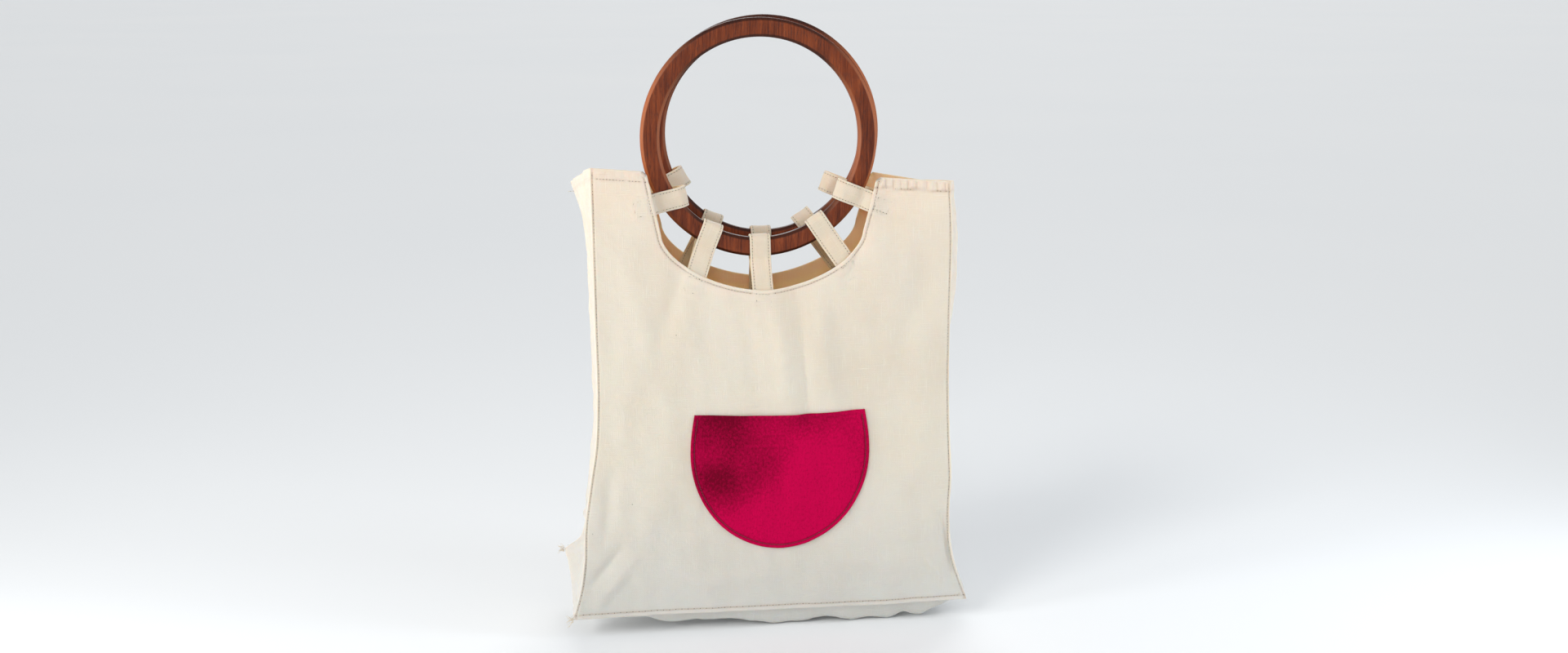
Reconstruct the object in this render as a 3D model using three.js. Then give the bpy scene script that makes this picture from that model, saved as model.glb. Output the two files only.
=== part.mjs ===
// A cloth tote carried by two round wooden handles, in millimetres, +Z up.
// The origin is where a hand grips: the inner top of the two rings, half way between them.
// The front faces -Y. The back half is the same make as the front, turned half way round.
import * as THREE from 'three';
import { mergeVertices } from 'three/addons/utils/BufferGeometryUtils.js';

// Wooden rings
const RING_DIAMETER = 204.4;
const RING_BAND = 16.4;
const RING_THICKNESS = 10;
const RING_CHAMFER = 2.5;
const RING_SPACING = 35;
const RING_STAGGER = 3.75;
const RING_SLIP = 1.2;
const RING_SEGMENTS = 64;

// Cloth body
const CLOTH = 1.2;
const SEAM_GAP = 0.3;
const BAG_WIDTH = 311;
const BAG_HEIGHT = 384.3;
const BAG_OFFSET = 7;
const FLOOR_DEPTH = 108;
const MOUTH_EASE = 6.5;
const BELLY = 3;
const FLOOR_SEAM_RISE = 2;
const FLOOR_END_GAP = 1.2;
const FLOOR_SAG = 17;
const FLOOR_SAG_REACH = 10;

// Neckline, cut to follow the ring
const NECK_TOP_INSET = 3;
const NECK_ARC_INSET = 14.7;
const NECK_SIDE_DROP = 51;
const NECK_ROUNDNESS = 1.7;
const NECK_OFFSET = 1.2;
const TOP_BELOW_RING_MIDDLE = 30.2;

// Strap loops
const STRAP_WIDTH = 18;
const STRAP_CLOTH = 1.2;
const STRAP_DROP = 27.6;
const STRAP_TAIL = 16;
const STRAP_CORNER = 3;

// Half-disc patch pocket
const POCKET_WIDTH = 157.6;
const POCKET_TOP_WIDTH = 149.8;
const POCKET_SIDE_DROP = 35.5;
const POCKET_ROUND_DROP = 86.6;
const POCKET_BELOW_NECK = 106.4;
const POCKET_OFFSET = 3.2;
const POCKET_CLOTH = 1.5;
const POCKET_END_ANGLE = 82;

// Mesh steps
const EAR_COLUMNS = 4;
const NECK_SIDE_COLUMNS = 4;
const NECK_ARC_COLUMNS = 12;
const PANEL_ROWS = 15;
const GUSSET_COLUMNS = 6;
const FLOOR_COLUMNS = 22;
const FLOOR_ROWS = 10;
const POCKET_COLUMNS = 10;
const POCKET_ROWS = 9;
const STRAP_CORNER_STEPS = 3;
const NECK_STEPS = 24;

// Outer edges of the panels, as shares of half the bag's width, at shares of its height.
// Left and right are as seen by someone who faces that panel.
const SIDE_EDGES = [
  { down: 0.00, frontLeft: 1.005, frontRight: 0.996, backLeft: 1.042, backRight: 1.035 },
  { down: 0.15, frontLeft: 1.002, frontRight: 1.010, backLeft: 1.060, backRight: 0.928 },
  { down: 0.34, frontLeft: 0.999, frontRight: 0.997, backLeft: 1.077, backRight: 0.921 },
  { down: 0.50, frontLeft: 0.997, frontRight: 0.993, backLeft: 1.080, backRight: 0.909 },
  { down: 0.60, frontLeft: 1.010, frontRight: 0.999, backLeft: 1.080, backRight: 0.912 },
  { down: 0.70, frontLeft: 1.049, frontRight: 1.010, backLeft: 1.090, backRight: 0.938 },
  { down: 0.80, frontLeft: 1.083, frontRight: 0.999, backLeft: 1.100, backRight: 0.965 },
  { down: 0.87, frontLeft: 1.091, frontRight: 1.012, backLeft: 1.110, backRight: 0.990 },
  { down: 0.93, frontLeft: 1.112, frontRight: 1.046, backLeft: 1.135, backRight: 1.110 },
  { down: 1.00, frontLeft: 1.159, frontRight: 1.105, backLeft: 1.150, backRight: 1.120 },
];

// Height of the panels' top edges and hems over their nominal lines, as shares of the
// bag's height. The stations are shares of half the width, left to right for someone who
// faces that panel.
const EDGE_LIFTS = [
  { across: -1.0, frontTop: 0.020, backTop: -0.039, frontHem: -0.002, backHem: 0.020 },
  { across: -0.6, frontTop: 0.006, backTop: -0.010, frontHem: 0.000, backHem: 0.025 },
  { across: 0.6, frontTop: -0.012, backTop: -0.013, frontHem: -0.003, backHem: 0.045 },
  { across: 1.0, frontTop: -0.024, backTop: -0.028, frontHem: 0.001, backHem: 0.073 },
];

// How deep the floor panel hangs below its seams from left to right, as shares of its full sag
const FLOOR_SAGS = [
  { across: 0.00, sag: 0.10 },
  { across: 0.20, sag: 0.55 },
  { across: 0.35, sag: 0.88 },
  { across: 0.50, sag: 1.00 },
  { across: 0.70, sag: 1.00 },
  { across: 0.86, sag: 1.00 },
  { across: 0.94, sag: 0.65 },
  { across: 1.00, sag: 0.20 },
];

// Folds of a panel: a soft ridge from one place to another. Places are shares of half the
// width and of the height, spread is a share of the width, rise a share of the bag's depth.
const FOLDS = [
  { fromAcross: 0.10, fromDown: 0.28, toAcross: 0.22, toDown: 0.60, spread: 0.060, rise: 0.026 },
  { fromAcross: 0.30, fromDown: 0.28, toAcross: 0.42, toDown: 0.52, spread: 0.060, rise: -0.020 },
  { fromAcross: 0.60, fromDown: 0.16, toAcross: 0.80, toDown: 0.50, spread: 0.050, rise: 0.030 },
  { fromAcross: -0.45, fromDown: 0.24, toAcross: -0.62, toDown: 0.55, spread: 0.050, rise: 0.022 },
  { fromAcross: -0.88, fromDown: 0.87, toAcross: -0.62, toDown: 0.72, spread: 0.050, rise: 0.020 },
  { fromAcross: 0.88, fromDown: 0.87, toAcross: 0.66, toDown: 0.72, spread: 0.050, rise: 0.020 },
];

// How far each side wall stands out past a straight line between its seams,
// as shares of the bag's depth, at shares of its height.
const GUSSET_BULGES = [
  { down: 0.00, left: 0.012, right: 0.062 },
  { down: 0.20, left: 0.006, right: 0.050 },
  { down: 0.34, left: 0.010, right: 0.022 },
  { down: 0.60, left: 0.008, right: 0.012 },
  { down: 0.80, left: -0.015, right: -0.010 },
  { down: 1.00, left: -0.020, right: 0.010 },
];

// Strap loops, left to right for someone who faces that panel. Place is a share of the
// neckline's length, lean is in degrees from hanging straight down, slack is how far the
// loop stands past the ring's inner edge.
const FRONT_STRAPS = [
  { place: 0.093, lean: -77, slack: 2.6 },
  { place: 0.323, lean: -21.5, slack: 0.3 },
  { place: 0.511, lean: 1.3, slack: 0.3 },
  { place: 0.751, lean: 34, slack: 0.3 },
  { place: 0.931, lean: 68.5, slack: 3.8 },
];
const BACK_STRAPS = [
  { place: 0.073, lean: -68, slack: 16 },
  { place: 0.275, lean: -38, slack: 5.5 },
  { place: 0.499, lean: -1, slack: 0.6 },
  { place: 0.707, lean: 23.5, slack: 0.3 },
  { place: 0.950, lean: 62, slack: 8.5 },
];

// Worked-out sizes
const ringOuter = RING_DIAMETER / 2;
const ringInner = ringOuter - RING_BAND;
const ringMiddleZ = -ringInner;
const halfWidth = BAG_WIDTH / 2;
const topZ = ringMiddleZ - TOP_BELOW_RING_MIDDLE;
const neckBottomZ = ringMiddleZ - ringOuter - STRAP_DROP;
const neckMiddle = NECK_OFFSET - RING_STAGGER;
const neckLeft = neckMiddle - (ringOuter - NECK_TOP_INSET);
const neckRight = neckMiddle + (ringOuter - NECK_TOP_INSET);
const neckArcHalf = ringOuter - NECK_ARC_INSET;
const neckArcTopZ = topZ - NECK_SIDE_DROP;
const mouthHalf = RING_SPACING / 2 + RING_THICKNESS / 2 + MOUTH_EASE;
const floorHalf = FLOOR_DEPTH / 2;

const canvas = new THREE.Color(0xe3d9c9);
const crimson = new THREE.Color(0xb80a4d);
const stainedWood = new THREE.Color(0x6e3420);

function meshOf(name, geometry, color, roughness) {
  geometry.deleteAttribute('uv');
  geometry.deleteAttribute('normal');
  const solid = mergeVertices(geometry, 1e-5);
  solid.computeVertexNormals();
  const material = new THREE.MeshStandardMaterial({ color, roughness, metalness: 0 });
  const mesh = new THREE.Mesh(solid, material);
  mesh.name = name;
  return mesh;
}

// Smooth value of one column of a table between its rows
function tableReader(rows, key, column) {
  const places = rows.map((row) => row[key]);
  const values = rows.map((row) => row[column]);
  const curve = new THREE.CubicInterpolant(places, values, 1);
  const first = places[0];
  const last = places[places.length - 1];
  return (at) => curve.evaluate(THREE.MathUtils.clamp(at, first, last))[0];
}

// A wall of cloth. place(across, down) gives the middle of the cloth, and half of the
// thickness goes to each side of it, square to the surface.
function clothWall(columns, rows, thickness, place) {
  const geometry = new THREE.BoxGeometry(1, 1, 1, columns, rows, 1);
  const position = geometry.attributes.position;
  const step = 0.004;
  const spot = new THREE.Vector3();
  for (let i = 0; i < position.count; i += 1) {
    spot.fromBufferAttribute(position, i);
    const across = spot.x + 0.5;
    const down = 0.5 - spot.y;
    const right = place(Math.min(across + step, 1), down);
    const left = place(Math.max(across - step, 0), down);
    const above = place(across, Math.max(down - step, 0));
    const below = place(across, Math.min(down + step, 1));
    const normal = right.sub(left).cross(above.sub(below)).normalize();
    const point = place(across, down).addScaledVector(normal, spot.z * thickness);
    position.setXYZ(i, point.x, point.y, point.z);
  }
  return geometry;
}

// Side edges of the front or the back panel at a share of its height
const edgeShares = {
  front: {
    left: tableReader(SIDE_EDGES, 'down', 'frontLeft'),
    right: tableReader(SIDE_EDGES, 'down', 'frontRight'),
  },
  back: {
    left: tableReader(SIDE_EDGES, 'down', 'backLeft'),
    right: tableReader(SIDE_EDGES, 'down', 'backRight'),
  },
};

function sideEdges(half, down) {
  return {
    left: BAG_OFFSET - halfWidth * edgeShares[half].left(down),
    right: BAG_OFFSET + halfWidth * edgeShares[half].right(down),
  };
}

// How far one edge of a panel stands over its nominal line, at a station from -1 to 1
function edgeLift(column, station) {
  const at = THREE.MathUtils.clamp(station, -1, 1);
  const next = Math.max(EDGE_LIFTS.findIndex((row) => row.across >= at), 1);
  const before = EDGE_LIFTS[next - 1];
  const after = EDGE_LIFTS[next];
  const part = (at - before.across) / (after.across - before.across);
  return BAG_HEIGHT * THREE.MathUtils.lerp(before[column], after[column], part);
}

// Height of a panel's top edge at x
function topEdgeZ(half, x) {
  return topZ + edgeLift(`${half}Top`, (x - BAG_OFFSET) / halfWidth);
}

// Height of a panel's hem at a share of the way from its left end to its right
function hemEdgeZ(half, across) {
  return topZ - BAG_HEIGHT + edgeLift(`${half}Hem`, 2 * across - 1);
}

// The neckline: two slanting sides and a rounded bottom, left to right
function necklineOf(half) {
  const arcDrop = neckArcTopZ - neckBottomZ;
  const power = 2 / NECK_ROUNDNESS;
  const points = [new THREE.Vector2(neckLeft, topEdgeZ(half, neckLeft))];
  for (let i = 0; i <= NECK_STEPS; i += 1) {
    const angle = (Math.PI * i) / NECK_STEPS;
    const reach = Math.sign(Math.cos(angle)) * Math.abs(Math.cos(angle)) ** power;
    const x = neckMiddle - neckArcHalf * reach;
    const z = neckArcTopZ - arcDrop * Math.sin(angle) ** power;
    points.push(new THREE.Vector2(x, z));
  }
  points.push(new THREE.Vector2(neckRight, topEdgeZ(half, neckRight)));
  const path = new THREE.CurvePath();
  for (let i = 1; i < points.length; i += 1) {
    path.add(new THREE.LineCurve(points[i - 1], points[i]));
  }
  return path;
}

// How far a fold lifts the cloth at a place
function foldRise(fold, x, z) {
  const from = new THREE.Vector2(BAG_OFFSET + halfWidth * fold.fromAcross, topZ - BAG_HEIGHT * fold.fromDown);
  const to = new THREE.Vector2(BAG_OFFSET + halfWidth * fold.toAcross, topZ - BAG_HEIGHT * fold.toDown);
  const run = to.clone().sub(from);
  const spot = new THREE.Vector2(x, z).sub(from);
  const along = THREE.MathUtils.clamp(spot.dot(run) / run.lengthSq(), 0, 1);
  const off = spot.distanceTo(run.clone().multiplyScalar(along)) / (BAG_WIDTH * fold.spread);
  const fade = THREE.MathUtils.smoothstep(along, 0, 0.35) * (1 - 0.6 * along);
  return FLOOR_DEPTH * fold.rise * Math.exp(-off * off) * fade;
}

// Depth of the middle of a panel's cloth
function panelY(half, x, z) {
  const down = THREE.MathUtils.clamp((topZ - z) / BAG_HEIGHT, 0, 1);
  const edges = sideEdges(half, down);
  const middle = (edges.left + edges.right) / 2;
  const off = Math.min(Math.abs(x - middle) / ((edges.right - edges.left) / 2), 1);
  const swell = BELLY * Math.sin(Math.PI * down) * (1 - off ** 4);
  const calm = 1 - THREE.MathUtils.smoothstep(off, 0.9, 1);
  const folds = FOLDS.reduce((sum, fold) => sum + foldRise(fold, x, z), 0);
  return -(THREE.MathUtils.lerp(mouthHalf, floorHalf, down) + swell + calm * folds);
}

// Top outline of a panel: left ear, neckline, right ear
const columnCount = 2 * (EAR_COLUMNS + NECK_SIDE_COLUMNS) + NECK_ARC_COLUMNS;

function topOutline(half, neckline, across) {
  const column = across * columnCount;
  const edges = sideEdges(half, 0);
  const neckColumns = columnCount - 2 * EAR_COLUMNS;
  if (column < EAR_COLUMNS) {
    const x = THREE.MathUtils.lerp(edges.left, neckLeft, column / EAR_COLUMNS);
    return new THREE.Vector2(x, topEdgeZ(half, x));
  }
  if (column > columnCount - EAR_COLUMNS) {
    const x = THREE.MathUtils.lerp(edges.right, neckRight, (columnCount - column) / EAR_COLUMNS);
    return new THREE.Vector2(x, topEdgeZ(half, x));
  }
  const sideLength = neckline.curves[0].getLength() / neckline.getLength();
  const onNeck = column - EAR_COLUMNS;
  if (onNeck < NECK_SIDE_COLUMNS) {
    return neckline.getPointAt((sideLength * onNeck) / NECK_SIDE_COLUMNS);
  }
  if (onNeck > neckColumns - NECK_SIDE_COLUMNS) {
    return neckline.getPointAt(1 - (sideLength * (neckColumns - onNeck)) / NECK_SIDE_COLUMNS);
  }
  const onArc = (onNeck - NECK_SIDE_COLUMNS) / NECK_ARC_COLUMNS;
  return neckline.getPointAt(THREE.MathUtils.lerp(sideLength, 1 - sideLength, onArc));
}

function panelPlace(half, neckline) {
  const topSides = sideEdges(half, 0);
  return (across, down) => {
    const top = topOutline(half, neckline, across);
    const z = THREE.MathUtils.lerp(top.y, hemEdgeZ(half, across), down);
    const topPart = (top.x - topSides.left) / (topSides.right - topSides.left);
    const part = THREE.MathUtils.lerp(topPart, across, THREE.MathUtils.smoothstep(down, 0, 0.55));
    const edges = sideEdges(half, THREE.MathUtils.clamp((topZ - z) / BAG_HEIGHT, 0, 1));
    const x = THREE.MathUtils.lerp(edges.left, edges.right, part);
    return new THREE.Vector3(x, panelY(half, x, z), z);
  };
}

function makePanel(name, half, neckline) {
  const wall = clothWall(columnCount, PANEL_ROWS, CLOTH, panelPlace(half, neckline));
  return meshOf(name, wall, canvas, 0.9);
}

// A wooden ring with flat faces and chamfered corners, turned about the Y axis
function makeRing(name) {
  const half = RING_THICKNESS / 2;
  const cut = RING_CHAMFER;
  const section = [
    [ringInner, half - cut],
    [ringInner, cut - half],
    [ringInner + cut, -half],
    [ringOuter - cut, -half],
    [ringOuter, cut - half],
    [ringOuter, half - cut],
    [ringOuter - cut, half],
    [ringInner + cut, half],
    [ringInner, half - cut],
  ].map(([radius, depth]) => new THREE.Vector2(radius, depth));
  return meshOf(name, new THREE.LatheGeometry(section, RING_SEGMENTS), stainedWood, 0.45);
}

// Middle line of a strap loop, as distance from the neckline towards the ring's middle and
// depth. It runs from the sewn end up the near side, round the ring and back to the other end.
function strapRoute(ring, anchor, strap) {
  const lean = THREE.MathUtils.degToRad(strap.lean);
  const upward = new THREE.Vector2(-Math.sin(lean), Math.cos(lean));
  const sideways = new THREE.Vector2(Math.cos(lean), Math.sin(lean));
  const crossing = (radius, offset) => {
    const start = anchor.clone().addScaledVector(sideways, offset).sub(ring.middle);
    const nearest = -start.dot(upward);
    const miss = start.addScaledVector(upward, nearest).length();
    return nearest - Math.sqrt(Math.max(radius * radius - miss * miss, 0));
  };
  const offsets = [-0.5, 0, 0.5].map((share) => share * STRAP_WIDTH);
  const outerEdge = Math.min(...offsets.map((offset) => crossing(ringOuter, offset)));
  const innerEdge = Math.max(...offsets.map((offset) => crossing(ringInner, offset)));
  const stand = RING_THICKNESS / 2 + SEAM_GAP + STRAP_CLOTH / 2;
  const end = innerEdge + SEAM_GAP + STRAP_CLOTH / 2 + strap.slack;
  const start = outerEdge - SEAM_GAP - STRAP_CLOTH / 2;
  const corner = [];
  for (let i = 0; i <= STRAP_CORNER_STEPS; i += 1) {
    const angle = (Math.PI / 2) * (i / STRAP_CORNER_STEPS);
    corner.push({
      out: end - STRAP_CORNER + STRAP_CORNER * Math.sin(angle),
      depth: stand - STRAP_CORNER + STRAP_CORNER * Math.cos(angle),
    });
  }
  const nearLayer = [
    { out: start, depth: stand },
    { out: (start + end) / 2, depth: stand },
    ...corner,
  ];
  return { upward, sideways, nearLayer };
}

// The strap is a folded strip: both ends lie flat inside the panel, under its neckline
function makeStrap(name, half, ring, neckline, strap) {
  const anchor = neckline.getPointAt(strap.place);
  const { upward, sideways, nearLayer } = strapRoute(ring, anchor, strap);
  const tails = [-1, -0.55, -0.1].map((share) => share * STRAP_TAIL);
  const inPanel = (CLOTH + STRAP_CLOTH) / 2 + SEAM_GAP;
  const route = [
    ...tails.map((out) => ({ out, lift: inPanel })),
    ...nearLayer.map(({ out, depth }) => ({ out, depth: ring.depth - depth })),
    ...nearLayer.toReversed().map(({ out, depth }) => ({ out, depth: ring.depth + depth })),
    ...tails.slice(0, 2).toReversed().map((out) => ({ out, lift: inPanel + STRAP_CLOTH + SEAM_GAP })),
  ];
  const pointOf = (step, offset) => {
    const spot = anchor.clone().addScaledVector(upward, step.out).addScaledVector(sideways, offset);
    const depth = step.depth ?? panelY(half, spot.x, spot.y) + step.lift;
    return new THREE.Vector3(spot.x, depth, spot.y);
  };
  const place = (across, down) => {
    const offset = (across - 0.5) * STRAP_WIDTH;
    const at = (1 - down) * (route.length - 1);
    const before = Math.min(Math.floor(at), route.length - 2);
    return pointOf(route[before], offset).lerp(pointOf(route[before + 1], offset), at - before);
  };
  return meshOf(name, clothWall(2, route.length - 1, STRAP_CLOTH, place), canvas, 0.9);
}

// The patch pocket: straight top, sides that open a little, then a round bottom
function makePocket() {
  const topLine = neckBottomZ - POCKET_BELOW_NECK;
  const sideEnd = 0.25;
  const endAngle = THREE.MathUtils.degToRad(POCKET_END_ANGLE);
  const outward = (CLOTH + POCKET_CLOTH) / 2 + SEAM_GAP;
  const place = (across, down) => {
    const onSide = Math.min(down / sideEnd, 1);
    const angle = endAngle * Math.max((down - sideEnd) / (1 - sideEnd), 0);
    const sideHalf = THREE.MathUtils.lerp(POCKET_TOP_WIDTH, POCKET_WIDTH, Math.sin((onSide * Math.PI) / 2)) / 2;
    const x = BAG_OFFSET + POCKET_OFFSET + (across - 0.5) * 2 * sideHalf * Math.cos(angle);
    const z = topLine - POCKET_SIDE_DROP * onSide - POCKET_ROUND_DROP * Math.sin(angle);
    return new THREE.Vector3(x, panelY('front', x, z) - outward, z);
  };
  return meshOf('pocket', clothWall(POCKET_COLUMNS, POCKET_ROWS, POCKET_CLOTH, place), crimson, 0.6);
}

// Ends of a side wall at a share of the height: its seams with the near and the far panel
function seamPlace(half, side, down) {
  const top = topEdgeZ(half, sideEdges(half, 0)[side]);
  const z = THREE.MathUtils.lerp(top, hemEdgeZ(half, side === 'left' ? 0 : 1), down);
  const edges = sideEdges(half, THREE.MathUtils.clamp((topZ - z) / BAG_HEIGHT, 0, 1));
  const inward = side === 'left' ? 1 : -1;
  const edge = edges[side] + (inward * CLOTH) / 2;
  const depth = panelY(half, edges[side], z) + CLOTH / 2 + SEAM_GAP;
  const turn = half === 'front' ? 1 : -1;
  return new THREE.Vector3(turn * edge, turn * depth, z);
}

// How far a side wall stands out at a share of the height and of the way round its depth
const gussetBulges = {
  left: tableReader(GUSSET_BULGES, 'down', 'left'),
  right: tableReader(GUSSET_BULGES, 'down', 'right'),
};

function bulgeOf(side, down, back) {
  return FLOOR_DEPTH * gussetBulges[side](down) * Math.sin(Math.PI * back);
}

// The side wall on the left runs from the back panel to the front one, the right wall from
// the front to the back, so that both face out.
function makeGusset(side) {
  const onLeft = side === 'left';
  const outward = onLeft ? -1 : 1;
  const place = (across, down) => {
    const front = seamPlace('front', side, down);
    const back = seamPlace('back', onLeft ? 'right' : 'left', down);
    const point = onLeft ? back.lerp(front, across) : front.lerp(back, across);
    point.x += outward * bulgeOf(side, down, across);
    return point;
  };
  return meshOf(`${side}_gusset`, clothWall(GUSSET_COLUMNS, PANEL_ROWS, CLOTH, place), canvas, 0.9);
}

const floorSagShare = tableReader(FLOOR_SAGS, 'across', 'sag');

// Where the floor panel meets the front or the back panel. Across runs from left to right
// for someone who faces the front, for both of them.
function floorSeam(half, across) {
  const turn = half === 'front' ? 1 : -1;
  const part = half === 'front' ? across : 1 - across;
  const z = hemEdgeZ(half, part) + FLOOR_SEAM_RISE;
  const edges = sideEdges(half, (topZ - z) / BAG_HEIGHT);
  const inset = CLOTH + FLOOR_END_GAP;
  const x = THREE.MathUtils.lerp(edges.left + inset, edges.right - inset, part);
  const y = panelY(half, x, z) + CLOTH / 2 + SEAM_GAP;
  return new THREE.Vector3(turn * x, turn * y, z);
}

// The floor panel hangs a little below the hems. Its mesh is finer near its four seams.
function makeFloor() {
  const nearSeams = (share) => (1 - Math.cos(Math.PI * share)) / 2;
  const sagAt = (share, length) => {
    const fromSeam = Math.min(share, 1 - share) * length;
    return THREE.MathUtils.smoothstep(fromSeam, 0, FLOOR_SAG_REACH);
  };
  const place = (acrossStep, backStep) => {
    const across = nearSeams(acrossStep);
    const back = nearSeams(backStep);
    const nearness = Math.min(sagAt(across, BAG_WIDTH), sagAt(back, FLOOR_DEPTH));
    const point = floorSeam('front', across).lerp(floorSeam('back', across), back);
    point.x += THREE.MathUtils.lerp(-bulgeOf('left', 1, back), bulgeOf('right', 1, back), across);
    point.z -= FLOOR_SAG * floorSagShare(across) * nearness;
    return point;
  };
  return meshOf('bottom_panel', clothWall(FLOOR_COLUMNS, FLOOR_ROWS, CLOTH, place), canvas, 0.9);
}

// One half of the bag: ring, panel and five strap loops, facing -Y
function makeHalf(half, straps) {
  const slip = half === 'front' ? -RING_SLIP / 2 : RING_SLIP / 2;
  const ring = {
    middle: new THREE.Vector2(-RING_STAGGER, ringMiddleZ + slip),
    depth: -RING_SPACING / 2,
  };
  const neckline = necklineOf(half);
  const group = new THREE.Group();
  const ringMesh = makeRing(`${half}_ring`);
  ringMesh.position.set(ring.middle.x, ring.depth, ring.middle.y);
  group.add(ringMesh);
  group.add(makePanel(`${half}_panel`, half, neckline));
  straps.forEach((strap, index) => {
    group.add(makeStrap(`${half}_strap_${index + 1}`, half, ring, neckline, strap));
  });
  return group;
}

const bag = new THREE.Group();
const frontHalf = makeHalf('front', FRONT_STRAPS);
frontHalf.add(makePocket());
const backHalf = makeHalf('back', BACK_STRAPS);
backHalf.rotation.z = Math.PI;
bag.add(frontHalf, backHalf, makeGusset('left'), makeGusset('right'), makeFloor());

export default bag;
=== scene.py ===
"""A canvas tote carried by two round wooden handles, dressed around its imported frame.

The frame is in metres, +Z up, with its origin where a hand grips. The bag faces -Y.
Shapes are worked out in millimetres and scaled once, when a mesh is made. The back half is
the same make as the front, turned half way round, so both use the same functions.
"""

import math

import bpy
import numpy as np
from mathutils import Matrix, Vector
from mathutils.geometry import delaunay_2d_cdt


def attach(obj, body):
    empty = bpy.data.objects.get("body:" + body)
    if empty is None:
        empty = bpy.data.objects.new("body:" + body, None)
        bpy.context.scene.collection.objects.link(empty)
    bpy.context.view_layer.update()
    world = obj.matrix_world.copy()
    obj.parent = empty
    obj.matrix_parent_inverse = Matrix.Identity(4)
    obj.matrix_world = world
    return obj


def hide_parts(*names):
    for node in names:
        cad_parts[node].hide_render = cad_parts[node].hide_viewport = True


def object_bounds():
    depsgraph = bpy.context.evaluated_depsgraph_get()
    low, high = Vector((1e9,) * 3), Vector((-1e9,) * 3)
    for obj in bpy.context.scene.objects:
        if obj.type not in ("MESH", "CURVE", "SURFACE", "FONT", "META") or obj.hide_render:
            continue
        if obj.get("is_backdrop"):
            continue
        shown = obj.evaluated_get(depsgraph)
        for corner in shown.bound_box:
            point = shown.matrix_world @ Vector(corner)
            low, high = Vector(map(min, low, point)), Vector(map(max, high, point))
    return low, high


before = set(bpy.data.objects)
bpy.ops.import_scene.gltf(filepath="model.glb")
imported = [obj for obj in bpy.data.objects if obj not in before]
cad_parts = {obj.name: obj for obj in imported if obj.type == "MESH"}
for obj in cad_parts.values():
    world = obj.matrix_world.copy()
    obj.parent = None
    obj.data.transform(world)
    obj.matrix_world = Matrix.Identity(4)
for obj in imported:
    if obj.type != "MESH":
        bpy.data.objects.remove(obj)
cad_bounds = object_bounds()

MM = 0.001
BODY = "root"
HALVES = ("front", "back")
SIDES = ("left", "right")

# Rings
RING_DIAMETER = 204.4
RING_BAND = 16.4
RING_THICKNESS = 10.0
RING_CHAMFER = 2.5
RING_ROUNDING = 0.55
RING_SPACING = 35.0
RING_STAGGER = 3.75
RING_SLIP = 1.2

# Cloth body
CLOTH = 1.2
BAG_WIDTH = 311.0
BAG_HEIGHT = 384.3
BAG_OFFSET = 7.0
FLOOR_DEPTH = 108.0
MOUTH_EASE = 6.5
BELLY = 3.0
FLOOR_SEAM_RISE = 2.0
FLOOR_SAG = 17.0
FLOOR_SAG_REACH = 10.0
HEM_EXTRA = 0.7
TOPSTITCH_IN = 3.2
SIDE_STITCH_IN = 1.9
HEM_STITCH_IN = 4.2
EAR_HEM = 9.0

# Neckline
NECK_TOP_INSET = 3.0
NECK_ARC_INSET = 14.7
NECK_SIDE_DROP = 51.0
NECK_ROUNDNESS = 1.7
NECK_OFFSET = 1.2
NECK_BAND = 9.0
TOP_BELOW_RING_MIDDLE = 30.2
EAR_CORNER = 3.0

# Strap loops
STRAP_WIDTH = 18.0
STRAP_CLOTH = 1.7
STRAP_DROP = 27.6
STRAP_TAIL = 16.0
STRAP_CLEARANCE = 0.25
STRAP_STITCH_IN = 2.0

# Patch pocket
POCKET_WIDTH = 157.6
POCKET_TOP_WIDTH = 149.8
POCKET_SIDE_DROP = 35.5
POCKET_ROUND_DROP = 86.6
POCKET_BELOW_NECK = 106.4
POCKET_OFFSET = 3.2
POCKET_CLOTH = 1.5
POCKET_ROLL = 3.3

# Thread
STITCH_PITCH = 2.7
STITCH_LENGTH = 1.9
THREAD = 0.42

# Camera, from the photograph's own frame of 1920 by 800
CAMERA_PLACE = (-191.6, -1506.7, 67.3)
CAMERA_YAW = 8.0
CAMERA_PITCH = 12.0
CAMERA_FOCAL_PIXELS = 2143.0
FRAME_WIDTH_PIXELS = 1920.0
SENSOR = 36.0


def table(columns, *rows):
    """Rows of numbers under named columns."""
    return dict(zip(columns.split(), np.array(rows, float).T))


# Outer edges of the panels, as shares of half the bag's width, at shares of its height.
# Left and right are as seen by someone who faces that panel.
SIDE_EDGES = table(
    "down front_left front_right back_left back_right",
    (0.00, 1.005, 0.996, 1.042, 1.035),
    (0.15, 1.002, 1.010, 1.060, 0.928),
    (0.34, 0.999, 0.997, 1.077, 0.921),
    (0.50, 0.997, 0.993, 1.080, 0.909),
    (0.60, 1.010, 0.999, 1.080, 0.912),
    (0.70, 1.049, 1.010, 1.090, 0.938),
    (0.80, 1.083, 0.999, 1.100, 0.965),
    (0.87, 1.091, 1.012, 1.110, 0.982),
    (0.90, 1.100, 1.026, 1.122, 1.012),
    (0.93, 1.112, 1.046, 1.135, 1.110),
    (1.00, 1.159, 1.105, 1.150, 1.120),
)

# Top edges and hems over their nominal lines, as shares of the bag's height, at shares of
# half the width from left to right for someone who faces that panel
EDGE_LIFTS = table(
    "across front_top back_top front_hem back_hem",
    (-1.0, 0.020, -0.039, -0.002, 0.020),
    (-0.6, 0.006, -0.010, 0.000, 0.025),
    (0.6, -0.012, -0.013, -0.003, 0.045),
    (1.0, -0.024, -0.028, 0.001, 0.073),
)

# How deep the floor panel hangs from left to right, as shares of its full sag
FLOOR_SAGS = table(
    "across sag",
    (0.00, 0.10),
    (0.20, 0.55),
    (0.35, 0.88),
    (0.50, 1.00),
    (0.70, 1.00),
    (0.86, 1.00),
    (0.94, 0.65),
    (1.00, 0.20),
)

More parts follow.
